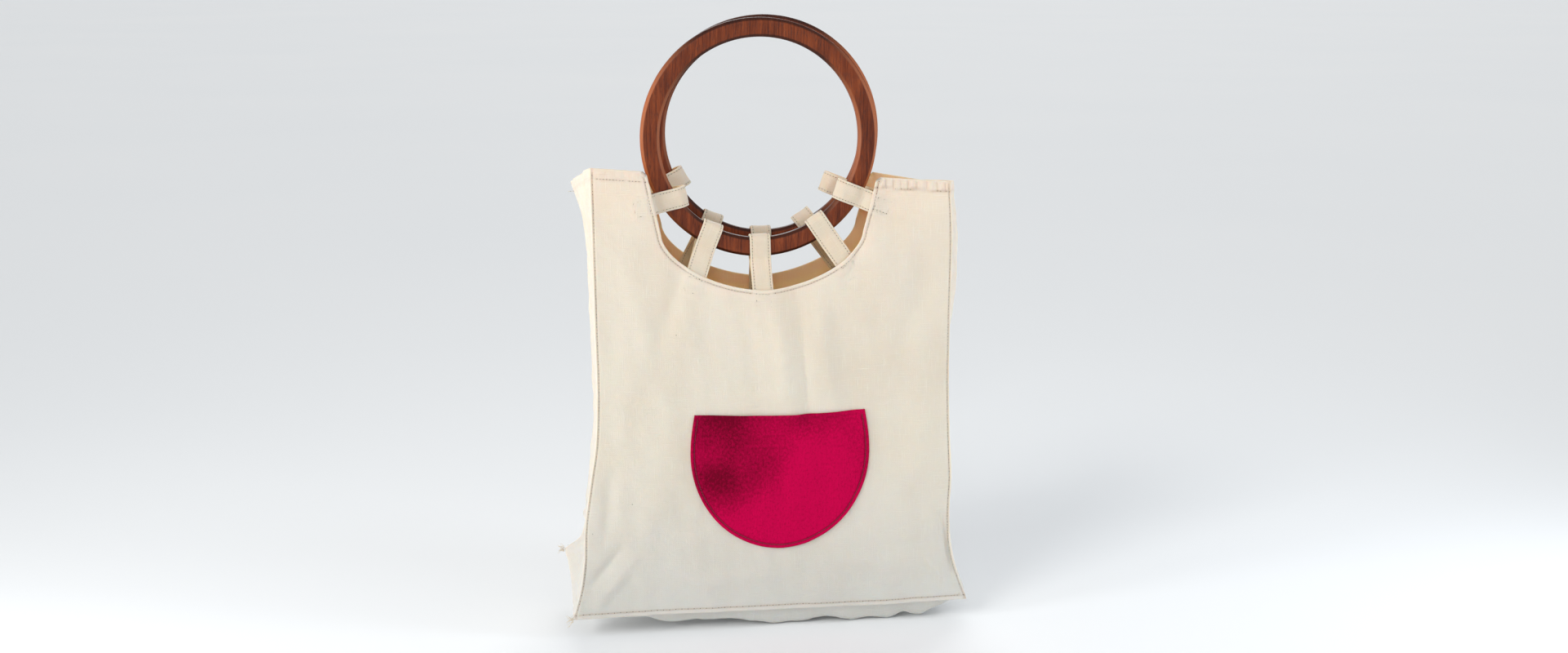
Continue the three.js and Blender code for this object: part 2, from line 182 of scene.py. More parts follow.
# Broad folds of a panel, each a soft ridge from one place to another. Places are shares of
# half the width and of the height, spread is a share of the width, rise of the bag's depth.
# A row says from across, from down, to across, to down, spread, rise.
FOLDS = (
    (0.10, 0.28, 0.22, 0.60, 0.060, 0.026),
    (0.30, 0.28, 0.42, 0.52, 0.060, -0.020),
    (0.60, 0.16, 0.80, 0.50, 0.050, 0.030),
    (-0.45, 0.24, -0.62, 0.55, 0.050, 0.022),
    (-0.88, 0.87, -0.62, 0.72, 0.050, 0.020),
    (0.88, 0.87, 0.66, 0.72, 0.050, 0.020),
)

# How far each side wall stands out past a straight line between its seams, as shares of the
# bag's depth, at shares of its height
GUSSET_BULGES = table(
    "down left right",
    (0.00, 0.012, 0.062),
    (0.20, 0.006, 0.050),
    (0.34, 0.010, 0.022),
    (0.60, 0.008, 0.012),
    (0.80, -0.015, -0.010),
    (1.00, -0.020, 0.010),
)

# Strap loops, left to right for someone who faces that panel. Place is a share of the
# neckline's length, lean is in degrees from hanging straight down, slack is in millimetres.
STRAPS = {
    "front": table(
        "place lean slack",
        (0.093, -77.0, 2.6),
        (0.323, -21.5, 0.3),
        (0.511, 1.3, 0.3),
        (0.751, 34.0, 0.3),
        (0.931, 68.5, 3.8),
    ),
    "back": table(
        "place lean slack",
        (0.073, -68.0, 16.0),
        (0.275, -38.0, 5.5),
        (0.499, -1.0, 0.6),
        (0.707, 23.5, 0.3),
        (0.950, 62.0, 8.5),
    ),
}

# Worked-out sizes
RING_OUTER = RING_DIAMETER / 2
RING_INNER = RING_OUTER - RING_BAND
RING_MIDDLE_Z = -RING_INNER
HALF_WIDTH = BAG_WIDTH / 2
TOP_Z = RING_MIDDLE_Z - TOP_BELOW_RING_MIDDLE
NECK_BOTTOM_Z = RING_MIDDLE_Z - RING_OUTER - STRAP_DROP
NECK_MIDDLE = NECK_OFFSET - RING_STAGGER
NECK_TOP_HALF = RING_OUTER - NECK_TOP_INSET
NECK_ARC_HALF = RING_OUTER - NECK_ARC_INSET
NECK_ARC_TOP_Z = TOP_Z - NECK_SIDE_DROP
MOUTH_HALF = RING_SPACING / 2 + RING_THICKNESS / 2 + MOUTH_EASE
FLOOR_HALF = FLOOR_DEPTH / 2
PANEL_ORIGIN = np.array([BAG_OFFSET, TOP_Z])
PANEL_SHARES = np.array([HALF_WIDTH, -BAG_HEIGHT])


def smooth_reader(rows, key, column):
    """Smooth value of one column of a table between its rows."""
    places = rows[key]
    values = rows[column]
    slopes = np.gradient(values, places)

    def read(at):
        at = np.clip(at, places[0], places[-1])
        i = np.clip(np.searchsorted(places, at, side="right") - 1, 0, len(places) - 2)
        span = places[i + 1] - places[i]
        t = (at - places[i]) / span
        ease = t * t * (3 - 2 * t)
        start = slopes[i] * span * t * (1 - t) ** 2
        end = slopes[i + 1] * span * t * t * (t - 1)
        return values[i] * (1 - ease) + values[i + 1] * ease + start + end

    return read


def smoothstep(low, high, at):
    """0 up to a low place and 1 from a high one, with a soft step between."""
    t = np.clip((at - low) / (high - low), 0, 1)
    return t * t * (3 - 2 * t)


def falloff(low, high, at):
    """1 up to a low place and 0 from a high one."""
    return 1 - smoothstep(low, high, at)


def unit(vectors):
    """Vectors scaled to a length of 1."""
    return vectors / np.linalg.norm(vectors, axis=-1, keepdims=True)


def way_out(side):
    """-1 for the left side of a panel and 1 for its right side."""
    return -1 if side == "left" else 1


def bump(offset, width):
    """A soft ridge of height 1 that fades over a width to either side."""
    return np.exp(-((offset / width) ** 2))


EDGE_SHARES = {
    (half, side): smooth_reader(SIDE_EDGES, "down", f"{half}_{side}")
    for half in HALVES
    for side in SIDES
}
SAG_SHARE = smooth_reader(FLOOR_SAGS, "across", "sag")
BULGE_SHARES = {side: smooth_reader(GUSSET_BULGES, "down", side) for side in SIDES}


def share_down(z):
    return np.clip((TOP_Z - z) / BAG_HEIGHT, 0, 1)


def side_edge(half, side, down):
    return BAG_OFFSET + way_out(side) * HALF_WIDTH * EDGE_SHARES[half, side](down)


def edge_lift(column, station):
    return BAG_HEIGHT * np.interp(station, EDGE_LIFTS["across"], EDGE_LIFTS[column])


def top_edge(half, x):
    return TOP_Z + edge_lift(f"{half}_top", (x - BAG_OFFSET) / HALF_WIDTH)


def hem_edge(half, across):
    return TOP_Z - BAG_HEIGHT + edge_lift(f"{half}_hem", 2 * across - 1)


def hem_corner(half, side):
    """Height of one lower corner of a panel."""
    return float(hem_edge(half, 0 if side == "left" else 1))


def neckline(half, steps=160):
    """The neckline from its left top to its right top, as points of a panel's own x and z."""
    angle = np.linspace(0, math.pi, steps + 1)
    power = 2 / NECK_ROUNDNESS
    x = NECK_MIDDLE - NECK_ARC_HALF * np.sign(np.cos(angle)) * np.abs(np.cos(angle)) ** power
    z = NECK_ARC_TOP_Z - (NECK_ARC_TOP_Z - NECK_BOTTOM_Z) * np.abs(np.sin(angle)) ** power
    left = NECK_MIDDLE - NECK_TOP_HALF
    right = NECK_MIDDLE + NECK_TOP_HALF
    ends = [(left, top_edge(half, left)), (right, top_edge(half, right))]
    return np.vstack([ends[:1], np.column_stack([x, z]), ends[1:]])


def step_lengths(points):
    return np.linalg.norm(np.diff(points, axis=0), axis=1)


def path_length(points):
    return float(step_lengths(points).sum())


def lengths_along(points):
    """How far along a path each of its points lies."""
    return np.concatenate([[0], np.cumsum(step_lengths(points))])


def along(points, distance):
    """Points at the given distances along a path."""
    lengths = lengths_along(points)
    return np.column_stack([np.interp(distance, lengths, axis) for axis in points.T])


def closed(outline):
    """An outline with its first point again at its end."""
    return np.vstack([outline, outline[:1]])


def resample(points, step):
    """The same path in equal steps of about the given length, with both ends."""
    length = path_length(points)
    return along(points, np.linspace(0, length, max(round(length / step), 2) + 1))


def ridges(rows, x, z, origin, shares):
    """Each soft ridge of a table, as how far along it and how far off it every place lies,
    its spread and its rise. The origin and the length of a whole share place the ridges."""
    for from_across, from_down, to_across, to_down, spread, rise in rows:
        start = origin + shares * np.array([from_across, from_down])
        run = origin + shares * np.array([to_across, to_down]) - start
        reach = ((x - start[0]) * run[0] + (z - start[1]) * run[1]) / (run @ run)
        reach = np.clip(reach, 0, 1)
        off = np.hypot(x - start[0] - run[0] * reach, z - start[1] - run[1] * reach)
        yield reach, off, spread, rise


def fold_rise(x, z):
    """How far the broad folds lift a panel's cloth. They start softly and get lower."""
    total = 0
    for reach, off, spread, rise in ridges(FOLDS, x, z, PANEL_ORIGIN, PANEL_SHARES):
        fade = smoothstep(0, 0.35, reach) * (1 - 0.6 * reach)
        total = total + FLOOR_DEPTH * rise * bump(off, BAG_WIDTH * spread) * fade
    return total


def panel_depth(half, x, z):
    """Depth of the middle of a panel's cloth. The outside is at the lower values."""
    down = share_down(z)
    left = side_edge(half, "left", down)
    right = side_edge(half, "right", down)
    off = np.minimum(np.abs(x - (left + right) / 2) / ((right - left) / 2), 1)
    swell = BELLY * np.sin(math.pi * down) * (1 - off**4)
    calm = falloff(0.9, 1, off)
    base = MOUTH_HALF + (FLOOR_HALF - MOUTH_HALF) * down
    return -(base + swell + calm * fold_rise(x, z))


def rumple(a, b, wavelength, seed, waves=14):
    """Small random waves of height about 1 over a sheet, the same on each run."""
    chance = np.random.default_rng(seed)
    total = np.zeros(np.broadcast(a, b).shape)
    for _ in range(waves):
        turn = chance.uniform(0, 2 * math.pi)
        size = 2 * math.pi / (wavelength * chance.uniform(0.6, 1.6))
        phase = chance.uniform(0, 2 * math.pi)
        total += np.sin(size * (a * math.cos(turn) + b * math.sin(turn)) + phase)
    return total / math.sqrt(waves)


def distance_to(points, path):
    """Shortest distance from each point to a path of straight steps."""
    best = np.full(len(points), np.inf)
    for start, end in zip(path[:-1], path[1:]):
        run = end - start
        share = np.clip(((points - start) @ run) / max(run @ run, 1e-12), 0, 1)
        near = start + share[:, None] * run
        best = np.minimum(best, np.hypot(*(points - near).T))
    return best


def inside(points, outline):
    """Which points lie inside a closed outline."""
    x, y = points.T
    found = np.zeros(len(points), bool)
    for (ax, ay), (bx, by) in zip(outline, np.roll(outline, -1, axis=0)):
        if ay == by:
            continue
        crosses = (ay > y) != (by > y)
        found ^= crosses & (x < (bx - ax) * (y - ay) / (by - ay) + ax)
    return found


# Nearest that a point may lie to the edge, as a share of its row's own distance, and how far
# the fill keeps from the last row, as a share of its spacing
ROW_TRIM = 0.97
FILL_TRIM = 0.6


def flat_triangles(outline, rows, spacing):
    """Points and triangles that fill a flat outline, with rows of points along its edge."""
    ahead = np.roll(outline, -1, axis=0) - outline
    behind = outline - np.roll(outline, 1, axis=0)
    run = unit(ahead) + unit(behind)
    inward = unit(np.column_stack([-run[:, 1], run[:, 0]]))
    border = closed(outline)
    points = [outline]
    for row in rows:
        offset = outline + inward * row
        keep = inside(offset, outline) & (distance_to(offset, border) > ROW_TRIM * row)
        points.append(offset[keep])
    low, high = outline.min(0), outline.max(0)
    fill_z = np.arange(low[1], high[1], spacing * math.sqrt(3) / 2)
    fill_x = np.arange(low[0], high[0], spacing)
    fill = [(x + (i % 2) * spacing / 2, z) for i, z in enumerate(fill_z) for x in fill_x]
    fill = np.array(fill)
    fill = fill[inside(fill, outline)]
    fill = fill[distance_to(fill, border) > rows[-1] + FILL_TRIM * spacing]
    points = np.vstack(points + [fill])
    edge = list(range(len(outline)))
    found = delaunay_2d_cdt([tuple(p) for p in points], [], [edge], 1, 1e-6)
    flat = np.array([tuple(p) for p in found[0]])
    faces = np.array([f for f in found[2] if len(f) == 3])
    a, b, c = (flat[faces[:, k]] for k in range(3))
    turned = np.cross(b - a, c - a) < 0
    faces[turned] = faces[turned][:, ::-1]
    return flat, faces, distance_to(flat, border)


def surface_frame(place, a, b, step=0.2):
    """Points of a surface and its unit normals, for two directions that turn outwards."""
    along_a = place(a + step, b) - place(a - step, b)
    along_b = place(a, b + step) - place(a, b - step)
    return place(a, b), unit(np.cross(along_a, along_b))


def add_object(name, data):
    """An object of the scene that shows a mesh, a lamp or a camera."""
    thing = bpy.data.objects.new(name, data)
    bpy.context.scene.collection.objects.link(thing)
    return thing


def add_mesh(name, points, faces, materials, edges=(), uv=None, material_index=None, **attributes):
    """A mesh object from points in millimetres, with any attributes of its points."""
    mesh = bpy.data.meshes.new(name)
    rows = [[int(corner) for corner in face] for face in faces]
    mesh.from_pydata((np.asarray(points) * MM).tolist(), list(edges), rows)
    for material in materials:
        mesh.materials.append(material)
    mesh.polygons.foreach_set("use_smooth", np.ones(len(mesh.polygons), bool))
    if material_index is not None:
        mesh.polygons.foreach_set("material_index", np.asarray(material_index, np.int32))
    if uv is not None:
        corners = np.zeros(len(mesh.loops), np.int32)
        mesh.loops.foreach_get("vertex_index", corners)
        layer = mesh.uv_layers.new(name="flat")
        layer.data.foreach_set("uv", (np.asarray(uv)[corners] * MM).astype(np.float32).ravel())
    for label, values in attributes.items():
        flat = np.asarray(values, np.float32)
        kind, field = ("FLOAT_VECTOR", "vector") if flat.ndim == 2 else ("FLOAT", "value")
        mesh.attributes.new(label, kind, "POINT").data.foreach_set(field, flat.ravel())
    mesh.update()
    return add_object(name, mesh)


def finish_piece(thing, slot, *nodes):
    """Hangs a finished piece on the frame and hides the imported nodes that it replaces."""
    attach(thing, BODY)
    if nodes:
        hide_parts(*nodes)
    return thing


def turn_half(half, vectors):
    """A half's own points or directions in the bag's frame."""
    return vectors if half == "front" else vectors * np.array([-1.0, -1.0, 1.0])


def cloth_shell(name, shape, place, materials, thickness, relief, seam, half="front"):
    """A closed sheet of cloth over a flat shape, with a round edge all the way round.

    Thickness, relief and seam are given for each flat point. Relief is how far the outside
    stands proud of its plain thickness, and seam is 1 in a stitched groove, where the material paints
    shade.
    """
    flat, faces, edge = shape
    middle, normal = surface_frame(place, *flat.T)
    half_thick = thickness / 2
    rounding = np.sqrt(1 - (1 - np.minimum(edge / half_thick, 1)) ** 2)
    rim = edge < 1e-4
    raised = np.where(rim, 0, relief * smoothstep(0.2, 1.0, edge))
    outer = middle + normal * (half_thick * rounding + raised)[:, None]
    inner = middle - normal * (half_thick * rounding)[:, None]
    inner_index = np.arange(len(flat))
    inner_index[~rim] = len(flat) + np.arange((~rim).sum())
    return add_mesh(
        name,
        turn_half(half, np.vstack([outer, inner[~rim]])),
        np.vstack([faces, inner_index[faces[:, ::-1]]]),
        materials,
        uv=np.vstack([flat, flat[~rim]]),
        # The inner faces take the second material, which for the canvas is a tan copy that paints the
        # warm shade inside the bag
        material_index=np.repeat([0, 1], len(faces)),
        seam=np.concatenate([seam, 0 * seam[~rim]]),
    )


# Small creases, in rows as in FOLDS. Places are shares of a sheet's own size, spread and
# rise are in millimetres.
CREASES = {
    "front_panel": (
        (0.00, 0.27, 0.06, 0.56, 8.0, 2.6),
        (0.12, 0.27, 0.19, 0.58, 7.0, -3.4),
        (0.25, 0.26, 0.34, 0.60, 8.0, 2.6),
        (-0.16, 0.28, -0.12, 0.50, 9.0, -2.0),
        (0.54, 0.11, 0.40, 0.24, 5.0, -3.0),
        (0.62, 0.12, 0.50, 0.34, 9.0, 1.8),
        (0.90, 0.16, 0.64, 0.50, 13.0, -2.6),
        (0.96, 0.30, 0.80, 0.70, 14.0, 1.8),
        (0.76, 0.08, 0.74, 0.26, 7.0, 1.2),
        (-0.50, 0.18, -0.62, 0.36, 8.0, -1.8),
        (-0.84, 0.12, -0.70, 0.46, 12.0, 1.6),
        (-1.02, 0.97, -0.80, 0.86, 5.0, 2.0),
        (-1.06, 0.93, -0.88, 0.84, 4.5, -2.6),
        (-0.98, 0.84, -0.92, 0.66, 6.0, -1.6),
        (1.00, 0.97, 0.84, 0.88, 5.0, 2.0),
        (1.02, 0.93, 0.94, 0.78, 4.5, -2.6),
        (-0.50, 0.93, 0.10, 0.90, 10.0, 1.4),
        (0.30, 0.88, 0.74, 0.92, 9.0, 1.4),
    ),
    "back_panel": (
        (-0.20, 0.30, -0.28, 0.58, 8.0, 1.6),
        (0.05, 0.30, 0.02, 0.56, 7.0, -1.2),
        (0.22, 0.30, 0.34, 0.62, 8.0, 1.4),
        (-0.62, 0.18, -0.74, 0.52, 9.0, -1.8),
        (0.60, 0.18, 0.72, 0.50, 8.0, 1.4),
        (-0.92, 0.92, -0.60, 0.76, 6.0, 1.8),
        (0.92, 0.84, 0.62, 0.70, 6.0, 2.0),
        (0.40, 0.92, 0.86, 0.86, 5.0, -1.6),
        (-0.30, 0.90, 0.20, 0.88, 8.0, 1.0),
    ),
    "left_gusset": (
        (0.84, 0.00, 0.80, 0.22, 3.4, 2.2),
        (0.64, 0.00, 0.62, 0.28, 4.0, -3.0),
        (0.42, 0.00, 0.46, 0.32, 4.6, 2.8),
        (0.14, 0.00, 0.20, 0.34, 4.2, -3.4),
        (0.50, 0.30, 0.46, 0.80, 9.0, -1.6),
        (0.02, 0.99, 0.40, 0.92, 4.0, 3.4),
        (0.02, 0.95, 0.50, 0.86, 4.0, -3.6),
        (0.04, 0.90, 0.50, 0.80, 4.5, 3.0),
        (0.10, 0.86, 0.46, 0.72, 4.5, -2.6),
        (0.98, 0.98, 0.66, 0.88, 4.0, 2.0),
        (0.98, 0.90, 0.64, 0.78, 4.5, -1.8),
    ),
    "right_gusset": (
        (0.30, 0.00, 0.34, 0.42, 15.0, 7.0),
        (0.16, 0.00, 0.22, 0.24, 3.0, -1.8),
        (0.38, 0.00, 0.40, 0.30, 3.6, -1.6),
        (0.62, 0.00, 0.58, 0.26, 3.2, 1.6),
        (0.84, 0.00, 0.76, 0.24, 3.0, -1.2),
        (0.50, 0.30, 0.56, 0.78, 9.0, -1.8),
        (0.02, 0.98, 0.36, 0.88, 4.0, 2.2),
        (0.02, 0.92, 0.34, 0.78, 4.5, -2.0),
        (0.98, 0.97, 0.62, 0.86, 4.0, 2.2),
        (0.98, 0.90, 0.70, 0.76, 4.5, -1.8),
    ),
    "bottom_panel": (
        (0.16, 1.00, 0.34, 0.80, 4.0, 2.8),
        (0.26, 1.00, 0.46, 0.86, 4.0, -3.0),
        (0.44, 1.00, 0.58, 0.82, 4.4, 3.2),
        (0.55, 1.00, 0.68, 0.88, 3.6, -3.0),
        (0.66, 1.00, 0.76, 0.84, 4.0, 3.0),
        (0.80, 1.00, 0.90, 0.80, 4.0, -3.2),
        (0.92, 0.98, 0.84, 0.76, 3.6, 2.6),
        (0.10, 0.60, 0.90, 0.44, 12.0, 1.8),
        (0.12, 0.30, 0.60, 0.22, 8.0, -2.2),
        (0.30, 0.00, 0.42, 0.20, 4.0, 2.4),
        (0.62, 0.00, 0.72, 0.22, 4.0, -2.4),
    ),
}


def crease_rise(sheet, a, b, origin, shares):
    """How far a sheet's small creases lift it. They are highest half way along."""
    total = np.zeros(len(a))
    for reach, off, spread, rise in ridges(CREASES[sheet], a, b, origin, shares):
        total += rise * bump(off, spread) * np.sin(math.pi * (0.12 + 0.76 * reach))
    return total


# Height and length of the random ripples of a sheet, the broad ones and the fine ones
RIPPLES = {
    "panel": ((0.45, 62.0), (0.12, 19.0)),
    "gusset": ((0.6, 42.0), (0.2, 13.0)),
    "floor": ((0.8, 34.0), (0.3, 12.0)),
}


def ripples(sheet, a, b, seed):
    (broad, long), (fine, short) = RIPPLES[sheet]
    return broad * rumple(a, b, long, seed) + fine * rumple(a, b, short, seed + 1)


# Panels
EDGE_ROWS = (0.12, 0.4, 0.8, 1.4, 2.1, 2.8, 3.4, 4.2, 5.4)
CLOTH_SPACING = 2.4
NEAR_SEAM = 3.0
BOX_SIDE = 12.5
BOX_DROP = 4.6
GROOVE = 0.55
SIDE_STEPS = 180
HEM_STEPS = 150
EAR_STEPS = 30
NECK_STEP = 2.0
EAR_PUCKER_PITCH = 7.5
EAR_PUCKER_DRIFT = 9.0
EAR_PUCKERS = 0.18
RIGHT_EAR_PUCKERS = 0.72
RIGHT_EAR = (60, 100)
LOOSE_SEAM = (-40, 40)

# Rise, reach and pitch of the puckers that stitches draw up along a hem and along the sides
HEM_PUCKERS = (0.16, 3.2, 5.4)
SIDE_PUCKERS = (0.14, 3.0, 8.1)


def side_line(half, side, z):
    return side_edge(half, side, share_down(z))


def hem_line(half, x):
    """Height of a panel's hem at x."""
    left = side_edge(half, "left", 1.0)
    right = side_edge(half, "right", 1.0)
    return hem_edge(half, np.clip((x - left) / (right - left), 0, 1))


def from_sides(half, a, b):
    """Distance to the nearer side edge of a panel."""
    return np.minimum(a - side_line(half, "left", b), side_line(half, "right", b) - a)


def ear_end(side):
    """Where an ear's top edge meets its rounded corner at the neckline."""
    turn = way_out(side)
    return NECK_MIDDLE + turn * NECK_TOP_HALF + turn * EAR_CORNER


def panel_outline(half):
    """A panel's outline in its own x and z, anticlockwise from its top left corner."""
    starts = [side_edge(half, side, 0) for side in SIDES]
    top_left, top_right = starts
    left_z = np.linspace(top_edge(half, top_left), hem_corner(half, "left"), SIDE_STEPS)
    right_z = np.linspace(hem_corner(half, "right"), top_edge(half, top_right), SIDE_STEPS)
    left = np.column_stack([side_line(half, "left", left_z), left_z])
    right = np.column_stack([side_line(half, "right", right_z), right_z])
    share = np.linspace(0, 1, HEM_STEPS)[1:-1]
    hem_x = left[-1, 0] + (right[0, 0] - left[-1, 0]) * share
    hem = np.column_stack([hem_x, hem_edge(half, share)])
    ears = []
    for side, start in zip(SIDES, starts):
        x = np.linspace(start, ear_end(side), EAR_STEPS)
        ears.append(np.column_stack([x, top_edge(half, x)]))
    neck = resample(neckline(half), NECK_STEP)
    length = path_length(neck)
    inner = np.linspace(EAR_CORNER, length - EAR_CORNER, round(length / NECK_STEP))
    inner = along(neck, inner)[::-1]
    return np.vstack([left, hem, right, ears[1][1:], inner, ears[0][::-1][:-1]])


def puckers(from_seam, along_seam, rise, reach, pitch):
    """Small waves that a row of stitches draws up in the cloth beside it."""
    return rise * bump(from_seam, reach) * np.sin(along_seam * 2 * math.pi / pitch)


def panel_wrinkles(half, a, b):
    """How far small creases, ripples and puckers lift a panel's cloth."""
    rise = crease_rise(f"{half}_panel", a, b, PANEL_ORIGIN, PANEL_SHARES)
    seed = 11 if half == "front" else 23
    rise += ripples("panel", a, b, seed)
    rise += 0.35 * rumple(a, b * 0.25, 24.0, seed + 2) * smoothstep(0.2, 0.35, share_down(b))
    in_ear = bump(top_edge(half, a) - b - EAR_HEM / 2, EAR_HEM * 0.6)
    in_ear *= np.abs(a - NECK_MIDDLE) > NECK_TOP_HALF - EAR_CORNER
    drift = 1.5 * np.sin(a / EAR_PUCKER_DRIFT)
    pucker = np.sin(a * 2 * math.pi / EAR_PUCKER_PITCH + drift)
    rise += in_ear * pucker * (EAR_PUCKERS + RIGHT_EAR_PUCKERS * smoothstep(*RIGHT_EAR, a))
    rise += puckers(b - hem_line(half, a) - HEM_STITCH_IN, a, *HEM_PUCKERS)
    in_side = from_sides(half, a, b)
    rise += puckers(in_side - SIDE_STITCH_IN, b, *SIDE_PUCKERS)
    return rise * smoothstep(0, NEAR_SEAM, in_side)


def panel_surface(half):
    """The middle of a panel's cloth, as a function of its flat x and z."""
    return lambda a, b: np.column_stack([a, panel_depth(half, a, b) - panel_wrinkles(half, a, b), b])


def from_neckline(half, a, b):
    return distance_to(np.column_stack([a, b]), resample(neckline(half), NEAR_SEAM))


def in_top_hem(below_top):
    """1 in the hem of an ear or of a side wall, by the distance below its top edge."""
    return falloff(EAR_HEM - 0.6, EAR_HEM + 0.8, below_top)


def panel_thickness(half, a, b):
    """Thickness of a panel, doubled at its hems."""
    neck = falloff(NECK_BAND - 0.6, NECK_BAND + 0.6, from_neckline(half, a, b))
    low = falloff(HEM_STITCH_IN + 1.6, HEM_STITCH_IN + 2.8, b - hem_line(half, a))
    top = in_top_hem(top_edge(half, a) - b)
    return CLOTH + HEM_EXTRA * np.maximum(np.maximum(neck, low), top)


def strap_count(half):
    return len(STRAPS[half]["place"])


def ring_middle(half):
    """Middle of a ring in its half's own x and z. The front one has slipped down a little."""
    slip = -RING_SLIP / 2 if half == "front" else RING_SLIP / 2
    return np.array([-RING_STAGGER, RING_MIDDLE_Z + slip])


def strap_route(half, index):
    """Anchor and directions of a strap loop in its panel's x and z, where it meets the
    ring's outer edge, where it clears the inner one, and its slack."""
    straps = STRAPS[half]
    path = neckline(half)
    anchor = along(path, [path_length(path) * straps["place"][index]])[0]
    lean = math.radians(straps["lean"][index])
    upward = np.array([-math.sin(lean), math.cos(lean)])
    sideways = np.array([math.cos(lean), math.sin(lean)])

    def crossing(radius, offset):
        start = anchor + sideways * offset - ring_middle(half)
        nearest = -(start @ upward)
        miss = np.linalg.norm(start + upward * nearest)
        return nearest - math.sqrt(max(radius**2 - miss**2, 0))

    offsets = np.array([-0.5, 0, 0.5]) * STRAP_WIDTH
    first = min(crossing(RING_OUTER, offset) for offset in offsets)
    last = max(crossing(RING_INNER, offset) for offset in offsets)
    return anchor, upward, sideways, first, last, float(straps["slack"][index])


def strap_ends(half):
    """For each strap: its two directions and the middle of the box sewn over its end."""
    for index in range(strap_count(half)):
        anchor, upward, sideways, *_ = strap_route(half, index)
        yield upward, sideways, anchor - upward * (BOX_DROP + BOX_SIDE / 2)


def panel_relief(half, a, b):
    """Grooves of the stitched seams, and the sewn strap ends that press through."""
    rise = -GROOVE * bump(from_neckline(half, a, b) - TOPSTITCH_IN, 0.6)
    tight = 0.25 + 0.75 * smoothstep(*LOOSE_SEAM, a)
    rise -= GROOVE * tight * bump(top_edge(half, a) - b - EAR_HEM, 0.8)
    rise -= GROOVE * bump(from_sides(half, a, b) - SIDE_STITCH_IN, 0.7)
    rise -= GROOVE * bump(b - hem_line(half, a) - HEM_STITCH_IN, 0.8)
    for upward, sideways, middle in strap_ends(half):
        out = np.abs((a - middle[0]) * upward[0] + (b - middle[1]) * upward[1])
        across = np.abs((a - middle[0]) * sideways[0] + (b - middle[1]) * sideways[1])
        on_width = falloff(STRAP_WIDTH / 2 - 0.8, STRAP_WIDTH / 2 + 0.8, across)
        on_length = falloff(BOX_SIDE / 2 + 2, BOX_SIDE / 2 + 4, out)
        box = np.maximum(out, across) - BOX_SIDE / 2
        rise += 0.6 * on_width * on_length - GROOVE * bump(box, 0.8)
    return rise


def make_panel(half, materials):
    """The front or the back panel, hemmed round its neckline, its ears and its bottom."""
    outline = panel_outline(half)
    shape = flat_triangles(outline, EDGE_ROWS, CLOTH_SPACING)
    thickness = panel_thickness(half, *shape[0].T)
    relief = panel_relief(half, *shape[0].T)
    name = f"{half}_panel_cloth"
    # seam is the depth of the stitched grooves, where the canvas paints shade
    seam = np.clip(-relief / GROOVE, 0, 1)
    panel = cloth_shell(name, shape, panel_surface(half), materials, thickness, relief, seam, half)
    finish_piece(panel, "canvas", f"{half}_panel")


# Side walls and floor
SEAM_GAP = 0.3
FLOOR_END_GAP = 1.2
FLOOR_SPACING = 2.0
GUSSET_HEM_EXTRA = 0.4


def seam_place(half, side, down):
    """Where a side wall meets a panel, in the bag's frame."""
    top = top_edge(half, side_edge(half, side, 0))
    z = top + (hem_corner(half, side) - top) * down
    edge = side_line(half, side, z)
    depth = panel_depth(half, edge, z) + CLOTH / 2 + SEAM_GAP
    return turn_half(half, np.column_stack([edge - way_out(side) * CLOTH / 2, depth, z]))


def bulge_of(side, down, back):
    return FLOOR_DEPTH * BULGE_SHARES[side](down) * np.sin(math.pi * np.clip(back, 0, 1))


def make_gusset(side, materials):
    """A side wall. The left one runs from back to front, the right one from front to back."""
    on_left = side == "left"
    seed = 31 if on_left else 37

    def place(a, b):
        down = np.clip(1 - b / BAG_HEIGHT, 0, 1)
        half_width = FLOOR_HALF + (MOUTH_HALF - FLOOR_HALF) * b / BAG_HEIGHT
        across = 0.5 + a / (2 * half_width)
        front = seam_place("front", side, down)
        back = seam_place("back", "right" if on_left else "left", down)
        start, end = (back, front) if on_left else (front, back)
        point = start + (end - start) * across[:, None]
        shares = np.array([FLOOR_DEPTH, -BAG_HEIGHT])
        origin = np.array([0, BAG_HEIGHT])
        rise = crease_rise(f"{side}_gusset", across * FLOOR_DEPTH, b, origin, shares)
        rise += ripples("gusset", a, b, seed)
        rise *= smoothstep(0, 5, (0.5 - np.abs(across - 0.5)) * FLOOR_DEPTH)
        point[:, 0] += way_out(side) * (bulge_of(side, down, across) + rise)
        return point

    foot = [(-FLOOR_HALF, 0), (FLOOR_HALF, 0)]
    outline = polygon_outline(foot + [(MOUTH_HALF, BAG_HEIGHT), (-MOUTH_HALF, BAG_HEIGHT)])
    shape = flat_triangles(outline, EDGE_ROWS[:6], CLOTH_SPACING)
    below_top = BAG_HEIGHT - shape[0][:, 1]
    seam = bump(below_top - EAR_HEM, 0.8)
    thickness = CLOTH + GUSSET_HEM_EXTRA * in_top_hem(below_top)
    name = f"{side}_gusset_cloth"
    gusset = cloth_shell(name, shape, place, materials, thickness, -GROOVE * seam, seam)
    finish_piece(gusset, "canvas", f"{side}_gusset")


def polygon_outline(corners, step=CLOTH_SPACING):
    """The outline of a flat shape with straight sides, in small steps."""
    path = closed(np.array(corners, float))
    return np.vstack([resample(path[i : i + 2], step)[:-1] for i in range(len(corners))])


def floor_seam(half, across):
    """Where the floor meets a panel. Across runs left to right seen from the front."""
    part = across if half == "front" else 1 - across
    z = hem_edge(half, part) + FLOOR_SEAM_RISE
    inset = CLOTH + FLOOR_END_GAP
    left = side_line(half, "left", z) + inset
    right = side_line(half, "right", z) - inset
    x = left + (right - left) * part
    depth = panel_depth(half, x, z) + CLOTH / 2 + SEAM_GAP
    return turn_half(half, np.column_stack([x, depth, z]))


